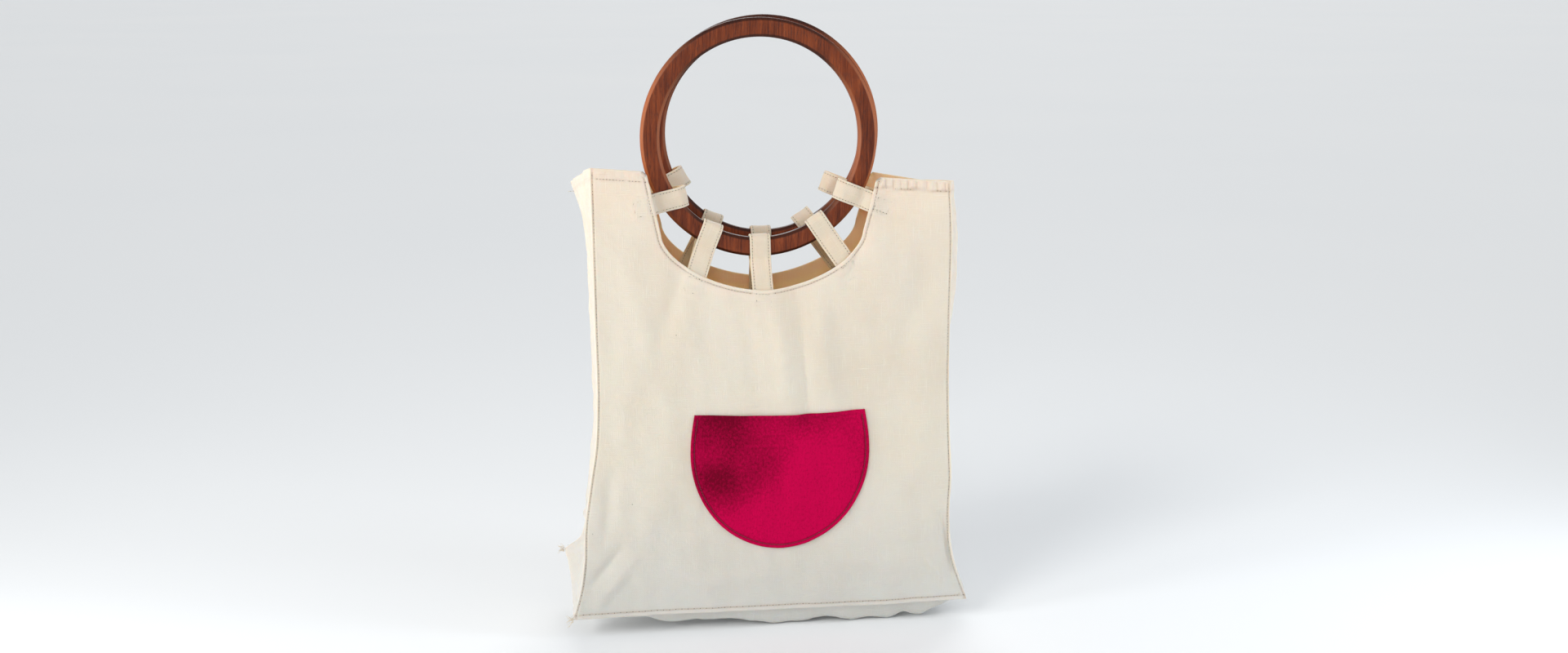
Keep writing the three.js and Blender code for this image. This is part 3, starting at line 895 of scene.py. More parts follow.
def make_floor(materials):
    """The floor panel, which hangs a little below the hems and is crumpled all over."""

    def place(a, b):
        across = a / BAG_WIDTH
        back = 1 - b / FLOOR_DEPTH
        near = floor_seam("front", across)
        far = floor_seam("back", across)
        point = near + (far - near) * back[:, None]
        left = bulge_of("left", 1.0, back)
        right = bulge_of("right", 1.0, back)
        point[:, 0] += -left + (left + right) * across
        from_end = np.minimum(across, 1 - across) * BAG_WIDTH
        from_seam = np.minimum(from_end, np.minimum(back, 1 - back) * FLOOR_DEPTH)
        nearness = smoothstep(0, FLOOR_SAG_REACH, from_seam)
        rise = crease_rise("bottom_panel", a, b, np.zeros(2), np.array([BAG_WIDTH, FLOOR_DEPTH]))
        rise += ripples("floor", a, b, 41)
        point[:, 2] -= FLOOR_SAG * SAG_SHARE(across) * nearness
        point[:, 2] -= rise * smoothstep(0, 4, from_seam)
        return point

    corners = [(0, 0), (BAG_WIDTH, 0), (BAG_WIDTH, FLOOR_DEPTH), (0, FLOOR_DEPTH)]
    shape = flat_triangles(polygon_outline(corners), EDGE_ROWS[:5], FLOOR_SPACING)
    none = np.zeros(len(shape[0]))
    floor = cloth_shell("bottom_panel_cloth", shape, place, materials, none + CLOTH, none, none)
    finish_piece(floor, "canvas", "bottom_panel")
    steps = np.linspace(0, 1, 160)
    width = path_length(floor_seam("front", steps))
    depth = path_length(place(BAG_WIDTH / 2 + 0 * steps, FLOOR_DEPTH * steps))


# Patch pocket
POCKET_MIDDLE = BAG_OFFSET + POCKET_OFFSET
POCKET_TOP = NECK_BOTTOM_Z - POCKET_BELOW_NECK
POCKET_DIP = 2.6
POCKET_ROWS = (0.15, 0.45, 0.9, 1.5, 2.1, 2.7, 3.1, 3.5, 4.0, 5.0)
POCKET_SPACING = 1.7
POCKET_GAP = 0.15
POCKET_SLACK = 0.9
POCKET_SLACK_DROP = 28
POCKET_ROLL_RISE = 0.85
POCKET_GROOVE = 0.65


def lid_height(x):
    """Height of the pocket's open edge, which dips between its corners."""
    share = np.clip((x - POCKET_MIDDLE) / POCKET_TOP_WIDTH + 0.5, 0, 1)
    return POCKET_TOP - POCKET_DIP * np.sin(math.pi * share)


def pocket_outline():
    """A dipping top, sides that open a little, then a round bottom, anticlockwise."""
    on_side = np.linspace(0, 1, 20)[:-1]
    widths = POCKET_TOP_WIDTH + (POCKET_WIDTH - POCKET_TOP_WIDTH) * np.sin(on_side * math.pi / 2)
    side = np.column_stack([widths / 2, POCKET_TOP - POCKET_SIDE_DROP * on_side])
    angle = np.linspace(0, math.pi / 2, 70)
    round_x = POCKET_WIDTH / 2 * np.cos(angle)
    round_z = POCKET_TOP - POCKET_SIDE_DROP - POCKET_ROUND_DROP * np.sin(angle)
    right = np.vstack([side, np.column_stack([round_x, round_z])])
    left = right * np.array([-1, 1])
    across = np.linspace(POCKET_TOP_WIDTH / 2, -POCKET_TOP_WIDTH / 2, 76)[1:-1]
    lid = np.column_stack([across, lid_height(across + POCKET_MIDDLE)])
    return np.vstack([left, right[::-1][1:], lid]) + np.array([POCKET_MIDDLE, 0])


def pocket_surface():
    """The middle of the pocket's cloth, lying on the front panel."""
    on_panel = panel_surface("front")
    stand = (CLOTH + POCKET_CLOTH) / 2 + POCKET_GAP

    def place(a, b):
        point = on_panel(a, b)
        inward = np.clip(1 - np.abs(a - POCKET_MIDDLE) / (POCKET_TOP_WIDTH / 2), 0, 1)
        slack = POCKET_SLACK * np.sin(math.pi * inward / 2)
        slack *= falloff(0, POCKET_SLACK_DROP, POCKET_TOP - b)
        ripple = 0.25 * rumple(a, b, 26.0, 51) * smoothstep(0, 12, 60 * inward)
        point[:, 1] -= stand + slack + np.maximum(ripple, -0.1)
        return point

    return place


def make_pocket(materials):
    """The patch pocket, with a rolled edge stitched down all round."""
    outline = pocket_outline()
    shape = flat_triangles(outline, POCKET_ROWS, POCKET_SPACING)
    edge = shape[2]
    a, b = shape[0].T
    below_lid = smoothstep(POCKET_ROLL - 0.5, POCKET_ROLL + 2, lid_height(a) - b)
    # seam is the groove inside the rolled edge, where the crimson cloth paints shade
    seam = bump(edge - POCKET_ROLL, 0.7) * below_lid
    roll = POCKET_ROLL_RISE * bump(edge - POCKET_ROLL / 2, 1.2) * below_lid
    relief = roll - POCKET_GROOVE * seam
    plain = np.full(len(edge), POCKET_CLOTH)
    pocket = cloth_shell("pocket_cloth", shape, pocket_surface(), materials, plain, relief, seam)
    finish_piece(pocket, "crimson_cloth", "pocket")


# Strap loops
LAYER_GAP = 0.1
STRAP_STEP = 0.6
STRAP_GROOVE = 0.22
STRAP_TUCK = 1.5
RETURN_TAIL = 0.8
LOOP_ROUNDING = 2.2
LOOP_ROUNDING_BY_SLACK = 1.4
LOOP_SOFTENING = 9
LOOP_SOFTENING_BY_SLACK = 14


def soften(path, reach):
    """A path with its corners rounded by averaging, both ends kept."""
    for _ in range(reach):
        path[1:-1] = (path[:-2] + 2 * path[1:-1] + path[2:]) / 4
    return path


def loop_faces(rings, around, joined=False):
    """Faces that join rings of points, with flat ends unless the last joins the first."""
    last = rings if joined else rings - 1
    step, turn = np.meshgrid(np.arange(last), np.arange(around), indexing="ij")
    here = step * around
    ahead = (step + 1) % rings * around
    beside = (turn + 1) % around
    corners = [here + turn, ahead + turn, ahead + beside, here + beside]
    faces = np.stack(corners, axis=-1).reshape(-1, 4).tolist()
    if not joined:
        faces.append(list(range(around)))
        faces.append(list(range(rings * around - 1, (rings - 1) * around - 1, -1)))
    return faces


def strap_middle(half, index):
    """Middle of a strap by steps along it and across it, with its outward directions."""
    anchor, upward, sideways, first, last, slack = strap_route(half, index)
    stand = RING_THICKNESS / 2 + STRAP_CLEARANCE + STRAP_CLOTH / 2
    start = first - STRAP_CLEARANCE - STRAP_CLOTH / 2
    end = last + STRAP_CLEARANCE + STRAP_CLOTH / 2 + slack
    near = -RING_SPACING / 2 - stand
    far = -RING_SPACING / 2 + stand
    in_panel = (CLOTH + HEM_EXTRA + STRAP_CLOTH) / 2 + LAYER_GAP
    deeper = in_panel + STRAP_CLOTH + LAYER_GAP
    round_off = min(LOOP_ROUNDING + LOOP_ROUNDING_BY_SLACK * slack, stand)
    corners = [
        (-STRAP_TAIL, in_panel, 1),
        (-STRAP_TUCK, in_panel, 1),
        (start, near, 0),
        (end - round_off, near, 0),
        (end, near + round_off, 0),
        (end, far - round_off, 0),
        (end - round_off, far, 0),
        (start, far, 0),
        (-STRAP_TUCK, deeper, 1),
        (-RETURN_TAIL * STRAP_TAIL, deeper, 1),
    ]
    up, depth, sewn = np.array(corners).T
    lengths = lengths_along(np.column_stack([up, np.where(sewn, near - stand, depth)]))
    at = np.linspace(0, lengths[-1], round(lengths[-1] / STRAP_STEP) + 1)

    def spread(values):
        return np.interp(at, lengths, values)[:, None]

    across = strap_stations()
    out = spread(up)
    spots = anchor + out[..., None] * upward + across[None, :, None] * sideways
    x, z = spots[..., 0], spots[..., 1]
    cloth = panel_surface(half)(x.ravel(), z.ravel())[:, 1].reshape(x.shape)
    cloth = cloth + spread(np.where(sewn, depth, in_panel))
    on_panel = spread(sewn)
    y = cloth * on_panel + spread(np.where(sewn, near, depth)) * (1 - on_panel)
    reach = LOOP_SOFTENING + round(LOOP_SOFTENING_BY_SLACK * min(slack, 2))
    middle = soften(np.stack([x, y, z], axis=-1), reach)
    tangent = unit(np.gradient(middle, axis=0))
    outward = unit(np.cross([sideways[0], 0, sideways[1]], tangent))
    seed = 60 + index + (5 if half == "back" else 0)
    ripple = 0.25 * rumple(at[:, None], across[None, :], 21.0, seed)
    ripple *= smoothstep(0, 12, out) * (slack + 1) ** 0.3
    return middle + outward * ripple[..., None], outward, at


def strap_stations():
    """Places across a strap, closer together at its edges and at its stitches."""
    edge = STRAP_WIDTH / 2
    inner = np.linspace(0, edge - STRAP_STITCH_IN - 0.8, 5)
    seam = edge - STRAP_STITCH_IN + np.array([-0.4, 0, 0.4, 0.9])
    rim = edge - STRAP_CLOTH / 2 * (1 - np.sin(np.linspace(0.2, 1, 5) * math.pi / 2))
    side = np.concatenate([inner, seam, rim])
    return np.concatenate([-side[:0:-1], side])


def make_strap(half, index, materials):
    """One flat strap loop, closed round its ring. Its inner side and its leg behind the ring
    take the second material, a tan copy of the canvas that paints the warm shade there."""
    middle, outward, at = strap_middle(half, index)
    across = strap_stations()
    edge = STRAP_WIDTH / 2
    into_rim = np.clip((np.abs(across) - edge + STRAP_CLOTH / 2) / (STRAP_CLOTH / 2), 0, 1)
    swell = STRAP_CLOTH / 2 * np.sqrt(1 - into_rim**2)
    groove = STRAP_GROOVE * bump(np.abs(across) - edge + STRAP_STITCH_IN, 0.5)
    rise = outward * np.maximum(swell - groove, 0)[None, :, None]
    ring = np.concatenate([middle + rise, (middle - rise)[:, -2:0:-1]], axis=1)
    around = ring.shape[1]
    flat_across = np.concatenate([across, across[-2:0:-1]])
    uv = np.stack(np.broadcast_arrays(flat_across, at[:, None]), axis=-1)
    uv = uv + np.array([40.0 * index, 0 if half == "front" else 200.0])
    anchor, upward, _, first, *_ = strap_route(half, index)
    out = (middle[:, len(across) // 2, [0, 2]] - anchor) @ upward
    in_shade = (out < first) & (np.arange(len(at)) > np.argmax(out))
    beneath = np.arange(around) >= len(across) - 1
    inner_faces = np.append((beneath | in_shade[:-1, None]).ravel(), [False, False])
    strap = add_mesh(
        f"{half}_strap_loop_{index + 1}",
        turn_half(half, ring.reshape(-1, 3)),
        loop_faces(len(at), around),
        materials,
        uv=uv.reshape(-1, 2),
        material_index=inner_faces,
    )
    point_outwards(strap)
    finish_piece(strap, "canvas_strap", f"{half}_strap_{index + 1}")


def point_outwards(thing):
    """Turns a closed mesh's faces outwards if its volume comes out negative."""
    mesh = thing.data
    points = np.zeros(len(mesh.vertices) * 3)
    mesh.vertices.foreach_get("co", points)
    points = points.reshape(-1, 3)
    mesh.calc_loop_triangles()
    corners = np.zeros(len(mesh.loop_triangles) * 3, np.int32)
    mesh.loop_triangles.foreach_get("vertices", corners)
    a, b, c = (points[corners.reshape(-1, 3)[:, k]] for k in range(3))
    if np.einsum("ij,ij->", a, np.cross(b, c)) < 0:
        mesh.flip_normals()


# Rings
RING_STEPS = 256


def ring_section():
    """A ring's cross-section by radius and depth, with chamfers and softly worn corners."""
    deep = RING_THICKNESS / 2
    flats = [
        (RING_INNER, deep - RING_CHAMFER),
        (RING_INNER, RING_CHAMFER - deep),
        (RING_INNER + RING_CHAMFER, -deep),
        (RING_OUTER - RING_CHAMFER, -deep),
        (RING_OUTER, RING_CHAMFER - deep),
        (RING_OUTER, deep - RING_CHAMFER),
        (RING_OUTER - RING_CHAMFER, deep),
        (RING_INNER + RING_CHAMFER, deep),
    ]
    corners = np.array(flats)
    before = RING_ROUNDING * unit(np.roll(corners, 1, axis=0) - corners)
    after = RING_ROUNDING * unit(np.roll(corners, -1, axis=0) - corners)
    rounded = []
    for corner, back, ahead in zip(corners, before, after):
        for t in (0, 0.25, 0.5, 0.75, 1):
            rounded.append(corner + back * (1 - t) ** 2 + ahead * t**2)
    return np.array(rounded)


def make_ring(half, material):
    """One round wooden handle."""
    radius, depth = ring_section().T
    middle_x, middle_z = ring_middle(half)
    turn = np.linspace(0, 2 * math.pi, RING_STEPS, endpoint=False)[:, None]
    x = middle_x + radius * np.cos(turn)
    z = middle_z + radius * np.sin(turn)
    y = np.broadcast_to(depth - RING_SPACING / 2, x.shape)
    points = turn_half(half, np.stack([x, y, z], axis=-1).reshape(-1, 3))
    faces = loop_faces(RING_STEPS, len(radius), True)
    radii = np.tile(radius, RING_STEPS)
    ring = add_mesh(f"{half}_wooden_ring", points, faces, [material], radius=radii)
    point_outwards(ring)
    finish_piece(ring, "stained_wood", f"{half}_ring")


# Materials
WEAVE_PITCH = 0.00062
RIB_PITCH = 0.00105
# Painted cool shade towards the foot of the bag: a blue-grey screen colour, and the heights in metres
# where it starts and where it is strongest
FOOT_PAINTED_SHADE = (168, 184, 192)
FOOT_PAINTED_SHADE_TOP = -0.36
FOOT_PAINTED_SHADE_LOW = -0.51

# Screen colours of a canvas: its plain tone, its patches and its slubs
CANVAS_TONES = {
    "natural_canvas": ((230, 217, 202), (221, 207, 190), (240, 231, 218)),
    # The inside canvas is a tan copy of the same cloth that paints the warm shade inside the bag
    "canvas_inside_painted_shade": ((247, 219, 184), (240, 206, 166), (250, 226, 196)),
    "canvas_strap": ((228, 212, 193), (220, 202, 180), (238, 226, 210)),
}

# Light and dark screen colours of the threads, and of the painted shade of the needle holes between
# their stitches
THREAD_TONES = {
    "cream_thread": ((226, 212, 188), (190, 172, 146)),
    "crimson_thread": ((196, 8, 84), (120, 0, 46)),
    "painted_needle_hole_shade": ((92, 72, 54), (64, 48, 36)),
}

# Screen colours of the wood, from the dark lines of its grain to the light ones
WOOD_TONES = (
    (0.34, (66, 23, 9)),
    (0.46, (100, 42, 17)),
    (0.55, (122, 55, 24)),
    (0.68, (146, 74, 36)),
)

# Where painted shade darkens the pocket's cloth: a middle and a reach in millimetres
PAINTED_SHADE_PATCHES = (((-30, -328), 84), ((-48, -378), 46))


def srgb(red, green, blue):
    """A linear colour from screen values of 0 to 255."""
    values = [v / 255 for v in (red, green, blue)]
    linear = [v / 12.92 if v <= 0.04045 else ((v + 0.055) / 1.055) ** 2.4 for v in values]
    return (*linear, 1.0)


def fill_inputs(tree, node, inputs):
    """Sets a node's inputs to values, or joins them to other sockets."""
    for socket, value in inputs.items():
        if isinstance(value, bpy.types.NodeSocket):
            tree.links.new(value, node.inputs[socket])
        else:
            node.inputs[socket].default_value = value


def add_node(tree, kind, inputs=None, **settings):
    """A node with its settings and its inputs."""
    node = tree.nodes.new(kind)
    for label, value in settings.items():
        setattr(node, label, value)
    fill_inputs(tree, node, inputs or {})
    return node


def calculate(tree, operation, first, second=0.0):
    return add_node(tree, "ShaderNodeMath", {0: first, 1: second}, operation=operation).outputs[0]


def multiply(tree, first, second):
    return calculate(tree, "MULTIPLY", first, second)


def part_of(tree, vector, axis):
    """X, Y or Z of a vector, for an axis of 0, 1 or 2."""
    return add_node(tree, "ShaderNodeSeparateXYZ", {0: vector}).outputs[axis]


def object_place(tree):
    return add_node(tree, "ShaderNodeTexCoord").outputs["Object"]


def flat_place(tree):
    return add_node(tree, "ShaderNodeUVMap", uv_map="flat").outputs[0]


def point_value(tree, name):
    """A value that the mesh carries at its points."""
    return add_node(tree, "ShaderNodeAttribute", attribute_name=name).outputs["Fac"]


def noise(tree, vector, scale, detail=3.0, roughness=0.55):
    """Noise of 0 to 1 with the given patches per metre along X, Y and Z."""
    stretched = add_node(tree, "ShaderNodeMapping", {"Vector": vector, "Scale": scale}).outputs[0]
    inputs = {"Vector": stretched, "Scale": 1.0, "Detail": detail, "Roughness": roughness}
    return add_node(tree, "ShaderNodeTexNoise", inputs).outputs["Fac"]


def remap(tree, value, low, high, to_low=0.0, to_high=1.0):
    inputs = {"Value": value, "From Min": low, "From Max": high, "To Min": to_low, "To Max": to_high}
    return add_node(tree, "ShaderNodeMapRange", inputs).outputs[0]


def blend_colors(tree, share, first, second):
    inputs = {0: share, 6: first, 7: second}
    return add_node(tree, "ShaderNodeMix", inputs, data_type="RGBA").outputs[2]


def lay_over(tree, color, tone, share, strength):
    """A colour with a tone laid over it, where and as strongly as said."""
    return blend_colors(tree, multiply(tree, share, strength), color, tone)


def tone_ramp(tree, value, stops):
    """A colour that a value picks between screen colours."""
    ramp = add_node(tree, "ShaderNodeValToRGB", {0: value})
    bar = ramp.color_ramp.elements
    for end, (position, color) in zip(bar, (stops[0], stops[-1])):
        end.position = position
        end.color = srgb(*color)
    for position, color in stops[1:-1]:
        bar.new(position).color = srgb(*color)
    return ramp.outputs[0]


def bumped(tree, height, distance, strength=1.0, under=None):
    inputs = {"Height": height, "Distance": distance, "Strength": strength}
    if under:
        inputs["Normal"] = under
    return add_node(tree, "ShaderNodeBump", inputs).outputs[0]


def set_surface(tree, **shader):
    """Sets inputs of a material's shader, or joins them to other sockets."""
    inputs = {label.replace("_", " "): value for label, value in shader.items()}
    fill_inputs(tree, tree.nodes["Principled BSDF"], inputs)


def new_material(name, **shader):
    """A material with constant values set on its shader, and its node tree."""
    material = bpy.data.materials.new(name)
    material.use_nodes = True
    set_surface(material.node_tree, **shader)
    return material, material.node_tree


def paint_seam_shade(tree, color, dark, strength):
    """A colour with painted shade laid over it where the stitched grooves run."""
    return lay_over(tree, color, srgb(*dark), point_value(tree, "seam"), strength)


def plain_weave(tree, place):
    """Height of over-and-under threads."""
    waves = []
    for axis in (0, 1):
        turn = multiply(tree, part_of(tree, place, axis), math.pi / WEAVE_PITCH)
        waves.append(calculate(tree, "SINE", turn))
    return multiply(tree, *waves)


def seed_flecks(tree, place):
    """1 on a few small specks of seed husk."""
    cells = add_node(tree, "ShaderNodeTexVoronoi", {"Vector": place, "Scale": 26.0})
    chosen = remap(tree, part_of(tree, cells.outputs["Color"], 0), 0.72, 0.74)
    near = remap(tree, cells.outputs["Distance"], 0.010, 0.016, 1.0, 0.0)
    return multiply(tree, near, chosen)


def make_canvas(name, plain, shade, slub):
    """Unbleached cotton canvas with slubs, faint patches, seed flecks and a plain weave."""
    sheen = {"Sheen_Weight": 0.12, "Sheen_Roughness": 0.6}
    glow = {"Subsurface_Weight": 0.6, "Subsurface_Radius": (1.0, 0.62, 0.4), "Subsurface_Scale": 0.004}
    material, tree = new_material(name, Roughness=0.92, Specular_IOR_Level=0.2, **sheen, **glow)
    place = flat_place(tree)
    patches = remap(tree, noise(tree, place, (14, 9, 1), 4.0), 0.35, 0.7)
    color = blend_colors(tree, patches, srgb(*plain), srgb(*shade))
    across = remap(tree, noise(tree, place, (55, 1300, 1), 2.0), 0.56, 0.72)
    down = remap(tree, noise(tree, place, (1300, 45, 1), 2.0), 0.56, 0.72)
    slubs = calculate(tree, "MAXIMUM", across, down)
    color = lay_over(tree, color, srgb(*slub), slubs, 0.45)
    color = lay_over(tree, color, srgb(96, 74, 52), seed_flecks(tree, place), 0.6)
    # Painted cool shade: lower down, the canvas colour is blended towards the blue-grey foot shade
    height = part_of(tree, object_place(tree), 2)
    low = remap(tree, height, FOOT_PAINTED_SHADE_TOP, FOOT_PAINTED_SHADE_LOW, 0.0, 0.9)
    color = blend_colors(tree, low, color, blend_colors(tree, 0.5, color, srgb(*FOOT_PAINTED_SHADE)))
    # Painted shade, brown, along the stitched grooves
    color = paint_seam_shade(tree, color, (150, 126, 102), 0.4)
    crinkle = bumped(tree, noise(tree, place, (150, 110, 1), 4.0), 0.0007, 0.5)
    threads = bumped(tree, slubs, 0.00016, 0.8, crinkle)
    weave = bumped(tree, plain_weave(tree, place), 0.00006, 0.8, threads)
    set_surface(tree, Base_Color=color, Normal=weave)
    return material


def soft_patch(tree, place, middle, reach):
    """1 at a place in millimetres on the flat cloth, fading to 0 at a reach from it."""
    centre = (middle[0] * MM, middle[1] * MM, 0)
    away = add_node(tree, "ShaderNodeVectorMath", {0: place, 1: centre}, operation="DISTANCE")
    return remap(tree, away.outputs["Value"], 0.0, reach * MM, 1.0, 0.0)


def make_crimson_cloth():
    """Crimson cloth with fine upright ribs, a random mottle, and painted shade in soft patches towards
    its upper left.
    """
    sheen = {"Sheen_Weight": 0.04, "Sheen_Roughness": 0.35, "Sheen_Tint": srgb(255, 20, 90)}
    gloss = {"Roughness": 0.75, "Specular_IOR_Level": 0.05}
    material, tree = new_material("crimson_twill", **gloss, **sheen)
    place = flat_place(tree)
    painted_shade_spots = [soft_patch(tree, place, *patch) for patch in PAINTED_SHADE_PATCHES]
    # Painted shade: these patches pull the tone towards the dark crimson, on top of the random mottle
    turned = multiply(tree, calculate(tree, "MAXIMUM", *painted_shade_spots), 0.46)
    mottle_and_painted_shade = calculate(tree, "SUBTRACT", noise(tree, place, (13, 10, 1), 2.0, 0.4), turned)
    fibres = noise(tree, place, (460, 380, 1), 5.0, 0.75)
    grain = remap(tree, fibres, 0.35, 0.65, -0.34, 0.34)
    tone = calculate(tree, "ADD", remap(tree, mottle_and_painted_shade, 0.08, 0.5), grain)
    tone = add_node(tree, "ShaderNodeClamp", {0: tone}).outputs[0]
    color = blend_colors(tree, tone, srgb(108, 0, 32), srgb(194, 0, 70))
    turn = multiply(tree, part_of(tree, place, 0), 2 * math.pi / RIB_PITCH)
    wander = multiply(tree, noise(tree, place, (220, 60, 1)), 7.0)
    ribs = calculate(tree, "SINE", calculate(tree, "ADD", turn, wander))
    ribs = bumped(tree, ribs, 0.00012, 0.8)
    pebbles = bumped(tree, noise(tree, place, (420, 340, 1), 3.0, 0.6), 0.0006, 1.0, ribs)
    # Painted shade, dark crimson, along the stitched groove
    color = paint_seam_shade(tree, color, (92, 0, 30), 0.75)
    set_surface(tree, Base_Color=color, Normal=pebbles)
    return material


def on_bevel(tree):
    """1 on a ring's chamfers, from the radius that its points carry."""
    radius = point_value(tree, "radius")
    chamfer = RING_CHAMFER + 0.4
    outer = remap(tree, radius, RING_OUTER - chamfer, RING_OUTER - chamfer + 1)
    inner = remap(tree, radius, RING_INNER + chamfer, RING_INNER + chamfer - 1)
    return calculate(tree, "MAXIMUM", outer, inner)


def make_stained_wood():
    """Red-brown stained wood whose grain runs straight up through the ring, with painted shade on the
    bevels near the top and bottom of the ring and painted highlights on those at its sides.
    """
    coat = {"Coat_Weight": 0.06, "Coat_Roughness": 0.2}
    material, tree = new_material("stained_wood", Specular_IOR_Level=0.22, **coat)
    place = object_place(tree)
    bend = multiply(tree, noise(tree, place, (9, 9, 9), 2.0), 0.008)
    push = add_node(tree, "ShaderNodeCombineXYZ", {0: bend}).outputs[0]
    place = add_node(tree, "ShaderNodeVectorMath", {0: place, 1: push}, operation="ADD").outputs[0]
    grain = noise(tree, place, (800, 420, 34), 6.0, 0.66)
    figure = noise(tree, place, (60, 40, 16), 3.0)
    mixed = calculate(tree, "ADD", multiply(tree, grain, 0.6), multiply(tree, figure, 0.4))
    color = tone_ramp(tree, mixed, WOOD_TONES)
    pores = remap(tree, noise(tree, place, (2000, 1300, 160), 2.0), 0.57, 0.67)
    color = lay_over(tree, color, srgb(46, 20, 12), pores, 0.6)
    # Painted light on the bevels: dark shade near the top and bottom of the ring, changing to a light
    # painted highlight at its left and right sides
    from_middle = calculate(tree, "ABSOLUTE", part_of(tree, place, 0))
    lit_side = remap(tree, from_middle, 0.055, 0.095)
    bevel_painted_light = blend_colors(tree, lit_side, srgb(34, 13, 8), srgb(186, 108, 66))
    color = lay_over(tree, color, bevel_painted_light, on_bevel(tree), 0.75)
    lines = bumped(tree, grain, 0.00018, 0.5)
    pits = bumped(tree, calculate(tree, "SUBTRACT", 1.0, pores), 0.00012, 0.8, lines)
    roughness = remap(tree, grain, 0.3, 0.7, 0.34, 0.52)
    set_surface(tree, Base_Color=color, Normal=pits, Roughness=roughness)
    return material


def make_thread(name, light, dark):
    """Sewing thread, a little uneven in tone."""
    material, tree = new_material(name, Roughness=0.75, Sheen_Weight=0.3)
    twist = noise(tree, object_place(tree), (1500, 1500, 1500), 2.0)
    color = blend_colors(tree, twist, srgb(*light), srgb(*dark))
    set_surface(tree, Base_Color=color, Normal=bumped(tree, twist, 0.0001, 0.6))
    return material


def make_floor_paint():
    """The plain pale studio floor."""
    material, tree = new_material("studio_floor", Roughness=0.85)
    tone = noise(tree, object_place(tree), (0.8, 0.8, 0.8), 2.0)
    color = blend_colors(tree, tone, srgb(240, 242, 244), srgb(236, 239, 242))
    set_surface(tree, Base_Color=color)
    return material


# Stitches
HOLE_SIZE = 0.8
SEAM_END = 5.0
SEAM_STEPS = 220
EAR_SEAM_IN = 2.0
INNER_BOX_IN = 1.6


def stitch_tree():
    """Nodes that sew a seam: a stitch on every pitch, and between stitches a flat dark disc that
    paints the shade of a needle hole.
    """
    tree = bpy.data.node_groups.new("sewn_seam", "GeometryNodeTree")
    sockets = [("Seams", "INPUT", "Geometry")]
    for label in ("Pitch", "Stitch length", "Thread thickness", "Hole size"):
        sockets.append((label, "INPUT", "Float"))
    sockets += [("Thread", "INPUT", "Material"), ("Hole", "INPUT", "Material")]
    sockets.append(("Stitches", "OUTPUT", "Geometry"))
    for label, way, kind in sockets:
        tree.interface.new_socket(label, in_out=way, socket_type=f"NodeSocket{kind}")
    given = add_node(tree, "NodeGroupInput").outputs
    curve = add_node(tree, "GeometryNodeMeshToCurve", {"Mesh": given["Seams"]}).outputs[0]
    inputs = {"Curve": curve, "Length": given["Pitch"]}
    spaced = add_node(tree, "GeometryNodeResampleCurve", inputs, mode="LENGTH").outputs[0]
    tangent = add_node(tree, "GeometryNodeInputTangent").outputs[0]
    align = "FunctionNodeAlignRotationToVector"
    turn = add_node(tree, align, {"Vector": tangent}, axis="X").outputs[0]
    reader = "GeometryNodeInputNamedAttribute"
    outward = add_node(tree, reader, {"Name": "outward"}, data_type="FLOAT_VECTOR").outputs[0]
    inputs = {"Rotation": turn, "Vector": outward}
    turn = add_node(tree, align, inputs, axis="Z", pivot_axis="X").outputs[0]
    inputs = {0: tangent, "Scale": multiply(tree, given["Pitch"], 0.5)}
    ahead = add_node(tree, "ShaderNodeVectorMath", inputs, operation="SCALE").outputs[0]
    moved = {"Geometry": spaced, "Offset": ahead}
    between = add_node(tree, "GeometryNodeSetPosition", moved).outputs[0]
    join = add_node(tree, "GeometryNodeJoinGeometry")
    thread, hole = given["Thread thickness"], given["Hole size"]
    stitch_size = {0: given["Stitch length"], 1: thread, 2: thread}
    hole_size = {0: hole, 1: hole, 2: multiply(tree, hole, 0.2)}
    for points, size, paint, segments in (
        (spaced, stitch_size, given["Thread"], 6),
        (between, hole_size, given["Hole"], 5),
    ):
        inputs = {"Segments": segments, "Rings": 4, "Radius": 0.5}
        ball = add_node(tree, "GeometryNodeMeshUVSphere", inputs).outputs[0]
        scale = add_node(tree, "ShaderNodeCombineXYZ", size).outputs[0]
        inputs = {"Points": points, "Instance": ball, "Rotation": turn, "Scale": scale}
        copies = add_node(tree, "GeometryNodeInstanceOnPoints", inputs).outputs[0]
        real = add_node(tree, "GeometryNodeRealizeInstances", {0: copies}).outputs[0]
        inputs = {"Geometry": real, "Material": paint}
        painted = add_node(tree, "GeometryNodeSetMaterial", inputs).outputs[0]
        tree.links.new(painted, join.inputs[0])
    add_node(tree, "NodeGroupOutput", {"Stitches": join.outputs[0]})
    return tree


def sew(name, seams, tree, thread, hole, slot):
    """Stitches along seams. Each seam is its points and its outward directions."""
    points = np.vstack([points for points, _ in seams])
    outward = np.vstack([directions for _, directions in seams])
    edges = []
    start = 0
    for row, _ in seams:
        edges += [(start + i, start + i + 1) for i in range(len(row) - 1)]
        start += len(row)
    thing = add_mesh(name, points, [], [], edges=edges, outward=outward)
    modifier = thing.modifiers.new("seam", "NODES")
    modifier.node_group = tree
    given = {
        "Pitch": STITCH_PITCH * MM,
        "Stitch length": STITCH_LENGTH * MM,
        "Thread thickness": THREAD * MM,
        "Hole size": HOLE_SIZE * MM,
        "Thread": thread,
        "Hole": hole,
    }
    for item in tree.interface.items_tree:
        if item.name in given:
            modifier[item.identifier] = given[item.name]
    bpy.context.view_layer.update()
    sewn = thing.evaluated_get(bpy.context.evaluated_depsgraph_get())
    mesh = bpy.data.meshes.new_from_object(sewn)
    thing.modifiers.remove(modifier)
    thing.data = mesh
    mesh.name = name
    mesh.polygons.foreach_set("use_smooth", np.ones(len(mesh.polygons), bool))
    return finish_piece(thing, slot)


def offset_path(path, distance):
    """A path moved to its right by a distance."""
    run = unit(np.gradient(path, axis=0))
    return path + distance * np.column_stack([run[:, 1], -run[:, 0]])


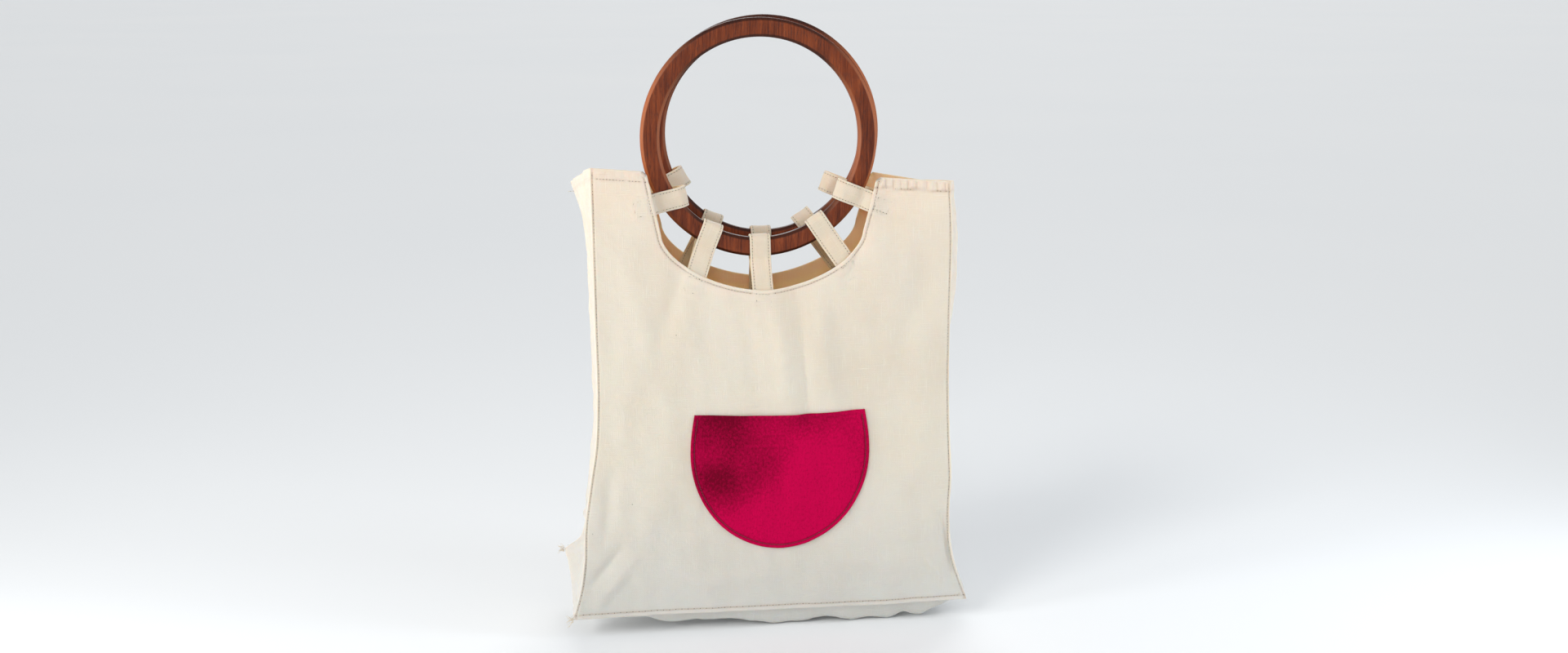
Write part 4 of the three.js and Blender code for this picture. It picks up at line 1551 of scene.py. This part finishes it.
def ear_path(half, side):
    """The row of stitches across an ear, a hem's height below its top edge."""
    turn = way_out(side)
    start = side_edge(half, side, 0) - turn * EAR_SEAM_IN
    x = np.linspace(start, NECK_MIDDLE + turn * (NECK_TOP_HALF + EAR_SEAM_IN), 60)
    return np.column_stack([x, top_edge(half, x) - EAR_HEM])


def box_path(upward, sideways, middle, half_side):
    corners = [(-1, 1), (-1, -1), (1, -1), (1, 1), (-1, 1)]
    points = [middle + half_side * (x * sideways + z * upward) for x, z in corners]
    return resample(np.array(points), 0.8)


def panel_seam_paths(half):
    """Flat paths of all the seams that show on a panel."""
    neck = resample(neckline(half), 1.5)
    paths = [offset_path(neck, TOPSTITCH_IN)[3:-3]]
    hem_ends = []
    for side in SIDES:
        turn = way_out(side)
        top = top_edge(half, side_edge(half, side, 0)) - SEAM_END
        z = np.linspace(top, hem_corner(half, side) + SEAM_END, SEAM_STEPS)
        paths.append(np.column_stack([side_line(half, side, z) - turn * SIDE_STITCH_IN, z]))
        paths.append(ear_path(half, side))
        hem_ends.append(side_line(half, side, hem_corner(half, side)) - turn * SEAM_END)
    x = np.linspace(*hem_ends, SEAM_STEPS)
    paths.append(np.column_stack([x, hem_line(half, x) + HEM_STITCH_IN]))
    ends = list(strap_ends(half))
    paths += [box_path(*end, BOX_SIDE / 2) for end in ends]
    second_row = box_path(*ends[-1], BOX_SIDE / 2 - INNER_BOX_IN)[: round(BOX_SIDE)]
    return paths + [second_row]


def panel_seams(half):
    """The panel's seams on the outside of its cloth."""
    seams = []
    for path in panel_seam_paths(half):
        middle, normal = surface_frame(panel_surface(half), *path.T)
        lift = panel_thickness(half, *path.T) / 2 + panel_relief(half, *path.T) + THREAD * 0.15
        seams.append((turn_half(half, middle + normal * lift[:, None]), turn_half(half, normal)))
    return seams


def strap_seams(half, index):
    """Two rows of stitches along a strap's edges, all round its outside."""
    middle, outward, _ = strap_middle(half, index)
    across = strap_stations()
    seams = []
    for turn in (-1, 1):
        place = turn * (STRAP_WIDTH / 2 - STRAP_STITCH_IN)
        column = int(np.argmin(np.abs(across - place)))
        points = middle[:, column] + outward[:, column] * (STRAP_CLOTH / 2 - 0.12)
        seams.append((turn_half(half, points), turn_half(half, outward[:, column])))
    return seams


def pocket_seams():
    """The row of stitches inside the pocket's rolled edge."""
    path = offset_path(resample(closed(pocket_outline()), 1.2), -POCKET_ROLL)[3:-3]
    path = path[path[:, 1] < lid_height(path[:, 0]) - POCKET_ROLL - 0.4]
    middle, normal = surface_frame(pocket_surface(), *path.T)
    return [(middle + normal * (POCKET_CLOTH / 2 - 0.3), normal)]


# Loose threads
HAIR_RADIUS = 0.14

# Corner, way out, number of threads and their greatest length
TUFTS = (
    ("back", "right", (-0.7, 0.0, 0.5), 22, 7.0),
    ("front", "left", (-0.75, -0.1, -0.2), 16, 6.0),
)


def hair(start, direction, length, curl, chance):
    """One fine thread that droops and curls, as points."""
    steps = np.linspace(0, 1, 14)
    bend = chance.normal(0, 1, 3)
    points = start + np.outer(steps * length, direction)
    points += np.outer(np.sin(steps * 2.6) * steps * curl, bend)
    points[:, 2] -= 0.25 * length * steps**2
    return points


def thin_tube(path, radius, sides=5):
    """A thin round thread along a path, as points and faces."""
    tangent = unit(np.gradient(path, axis=0))
    side = unit(np.cross(tangent, [0.3, 0.1, 0.95]))
    other = np.cross(tangent, side)
    angle = np.linspace(0, 2 * math.pi, sides, endpoint=False)[None, :, None]
    ring = side[:, None] * np.cos(angle) + other[:, None] * np.sin(angle)
    return (path[:, None] + radius * ring).reshape(-1, 3), loop_faces(len(path), sides)


def make_frays(thread):
    """Loose threads at the two lower corners on the left."""
    chance = np.random.default_rng(7)
    points, faces = [], []
    for half, side, direction, count, length in TUFTS:
        z = hem_corner(half, side)
        spot = panel_surface(half)(np.array([side_line(half, side, z)]), np.array([z]))
        place = turn_half(half, spot)[0]
        for _ in range(count):
            way = unit(np.array(direction) + chance.normal(0, 0.45, 3))
            start = place + chance.normal(0, 1.4, 3) * (0.3, 0.3, 1.2)
            path = hair(start, way, length * chance.uniform(0.4, 1.1), 1.6, chance)
            ring, quads = thin_tube(path, HAIR_RADIUS)
            base = sum(len(part) for part in points)
            points.append(ring)
            faces += [[corner + base for corner in face] for face in quads]
    frays = add_mesh("frayed_threads", np.vstack(points), faces, [thread])
    point_outwards(frays)
    finish_piece(frays, "canvas")


# Studio
STAGE_REACH = 60000.0
STAGE_GAP = 0.5


def make_camera():
    data = bpy.data.cameras.new("photo_view")
    data.sensor_width = SENSOR
    data.lens = SENSOR * CAMERA_FOCAL_PIXELS / FRAME_WIDTH_PIXELS
    data.clip_end = 100
    camera = add_object("photo_view", data)
    camera.location = [v * MM for v in CAMERA_PLACE]
    camera.rotation_euler = (math.radians(90 - CAMERA_PITCH), 0, math.radians(-CAMERA_YAW))
    bpy.context.scene.camera = camera


def add_lamp(name, kind, place, target, strength, color, **settings):
    """A lamp at a place in metres, facing a target."""
    data = bpy.data.lights.new(name, kind)
    data.energy = strength
    data.color = color
    for label, value in settings.items():
        setattr(data, label, value)
    lamp = add_object(name, data)
    lamp.location = place
    look = Vector(target) - Vector(place)
    lamp.rotation_euler = look.to_track_quat("-Z", "Y").to_euler()


def make_studio():
    """Soft light from the front left, weaker light from the right, the front and behind, a
    strip lamp at either side of the rings, and a faint grey all round."""
    warm, cool, white = (1.0, 0.975, 0.94), (0.90, 0.95, 1.0), (1.0, 0.99, 0.97)
    for name, place, strength, spread, color in (
        ("key", (-1.2, -1.05, 1.0), 1.1, 24, warm),
        ("fill", (1.3, -0.9, 0.35), 0.3, 50, cool),
        ("front", (-0.25, -1.5, 0.45), 0.4, 20, warm),
        ("rear", (0.3, 1.3, 0.8), 1.3, 50, white),
    ):
        add_lamp(name, "SUN", place, (0, 0, 0), strength, color, angle=math.radians(spread))
    strip = {"shape": "RECTANGLE", "size": 0.25, "size_y": 0.9}
    ring = (0, 0, RING_MIDDLE_Z * MM)
    add_lamp("left_strip", "AREA", (-1.0, -0.35, 0.05), ring, 5, white, **strip)
    add_lamp("right_strip", "AREA", (1.0, -0.35, 0.05), ring, 4, cool, **strip)
    world = bpy.data.worlds.new("studio")
    world.use_nodes = True
    sky = world.node_tree.nodes["Background"]
    sky.inputs["Color"].default_value = (0.94, 0.97, 1.0, 1.0)
    sky.inputs["Strength"].default_value = 0.37
    bpy.context.scene.world = world
    bpy.context.scene.view_settings.view_transform = "Standard"


def make_stage(paint):
    """The floor, just under the finished bag."""
    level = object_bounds()[0][2] / MM - STAGE_GAP
    ways = ((-1, -1), (1, -1), (1, 1), (-1, 1))
    corners = [(x * STAGE_REACH, y * STAGE_REACH, level) for x, y in ways]
    floor = add_mesh("studio_floor", corners, [(0, 1, 2, 3)], [paint])
    floor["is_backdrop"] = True


def make_bag():
    canvas = {name: make_canvas(name, *tones) for name, tones in CANVAS_TONES.items()}
    cloth = [canvas["natural_canvas"], canvas["canvas_inside_painted_shade"]]
    strap_cloth = [canvas["canvas_strap"], canvas["canvas_inside_painted_shade"]]
    wood = make_stained_wood()
    # The last thread material is a dark brown that paints the shade inside the needle holes
    threads = [make_thread(name, *tones) for name, tones in THREAD_TONES.items()]
    thread, crimson_thread, hole = threads
    for half in HALVES:
        make_ring(half, wood)
        make_panel(half, cloth)
        for index in range(strap_count(half)):
            make_strap(half, index, strap_cloth)
    make_gusset("left", cloth)
    make_gusset("right", cloth)
    make_floor(cloth)
    make_pocket([make_crimson_cloth()] * 2)
    tree = stitch_tree()
    for half in HALVES:
        sew(f"{half}_panel_stitches", panel_seams(half), tree, thread, hole, "canvas")
        loops = [seam for index in range(strap_count(half)) for seam in strap_seams(half, index)]
        sew(f"{half}_strap_stitches", loops, tree, thread, hole, "canvas_strap")
    sew("pocket_stitches", pocket_seams(), tree, crimson_thread, hole, "crimson_cloth")
    make_frays(thread)


make_camera()
make_bag()
make_studio()
make_stage(make_floor_paint())
boxes = {"cad": cad_bounds, "visual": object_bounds()}
{key: [list(map(float, corner)) for corner in box] for key, box in boxes.items()}
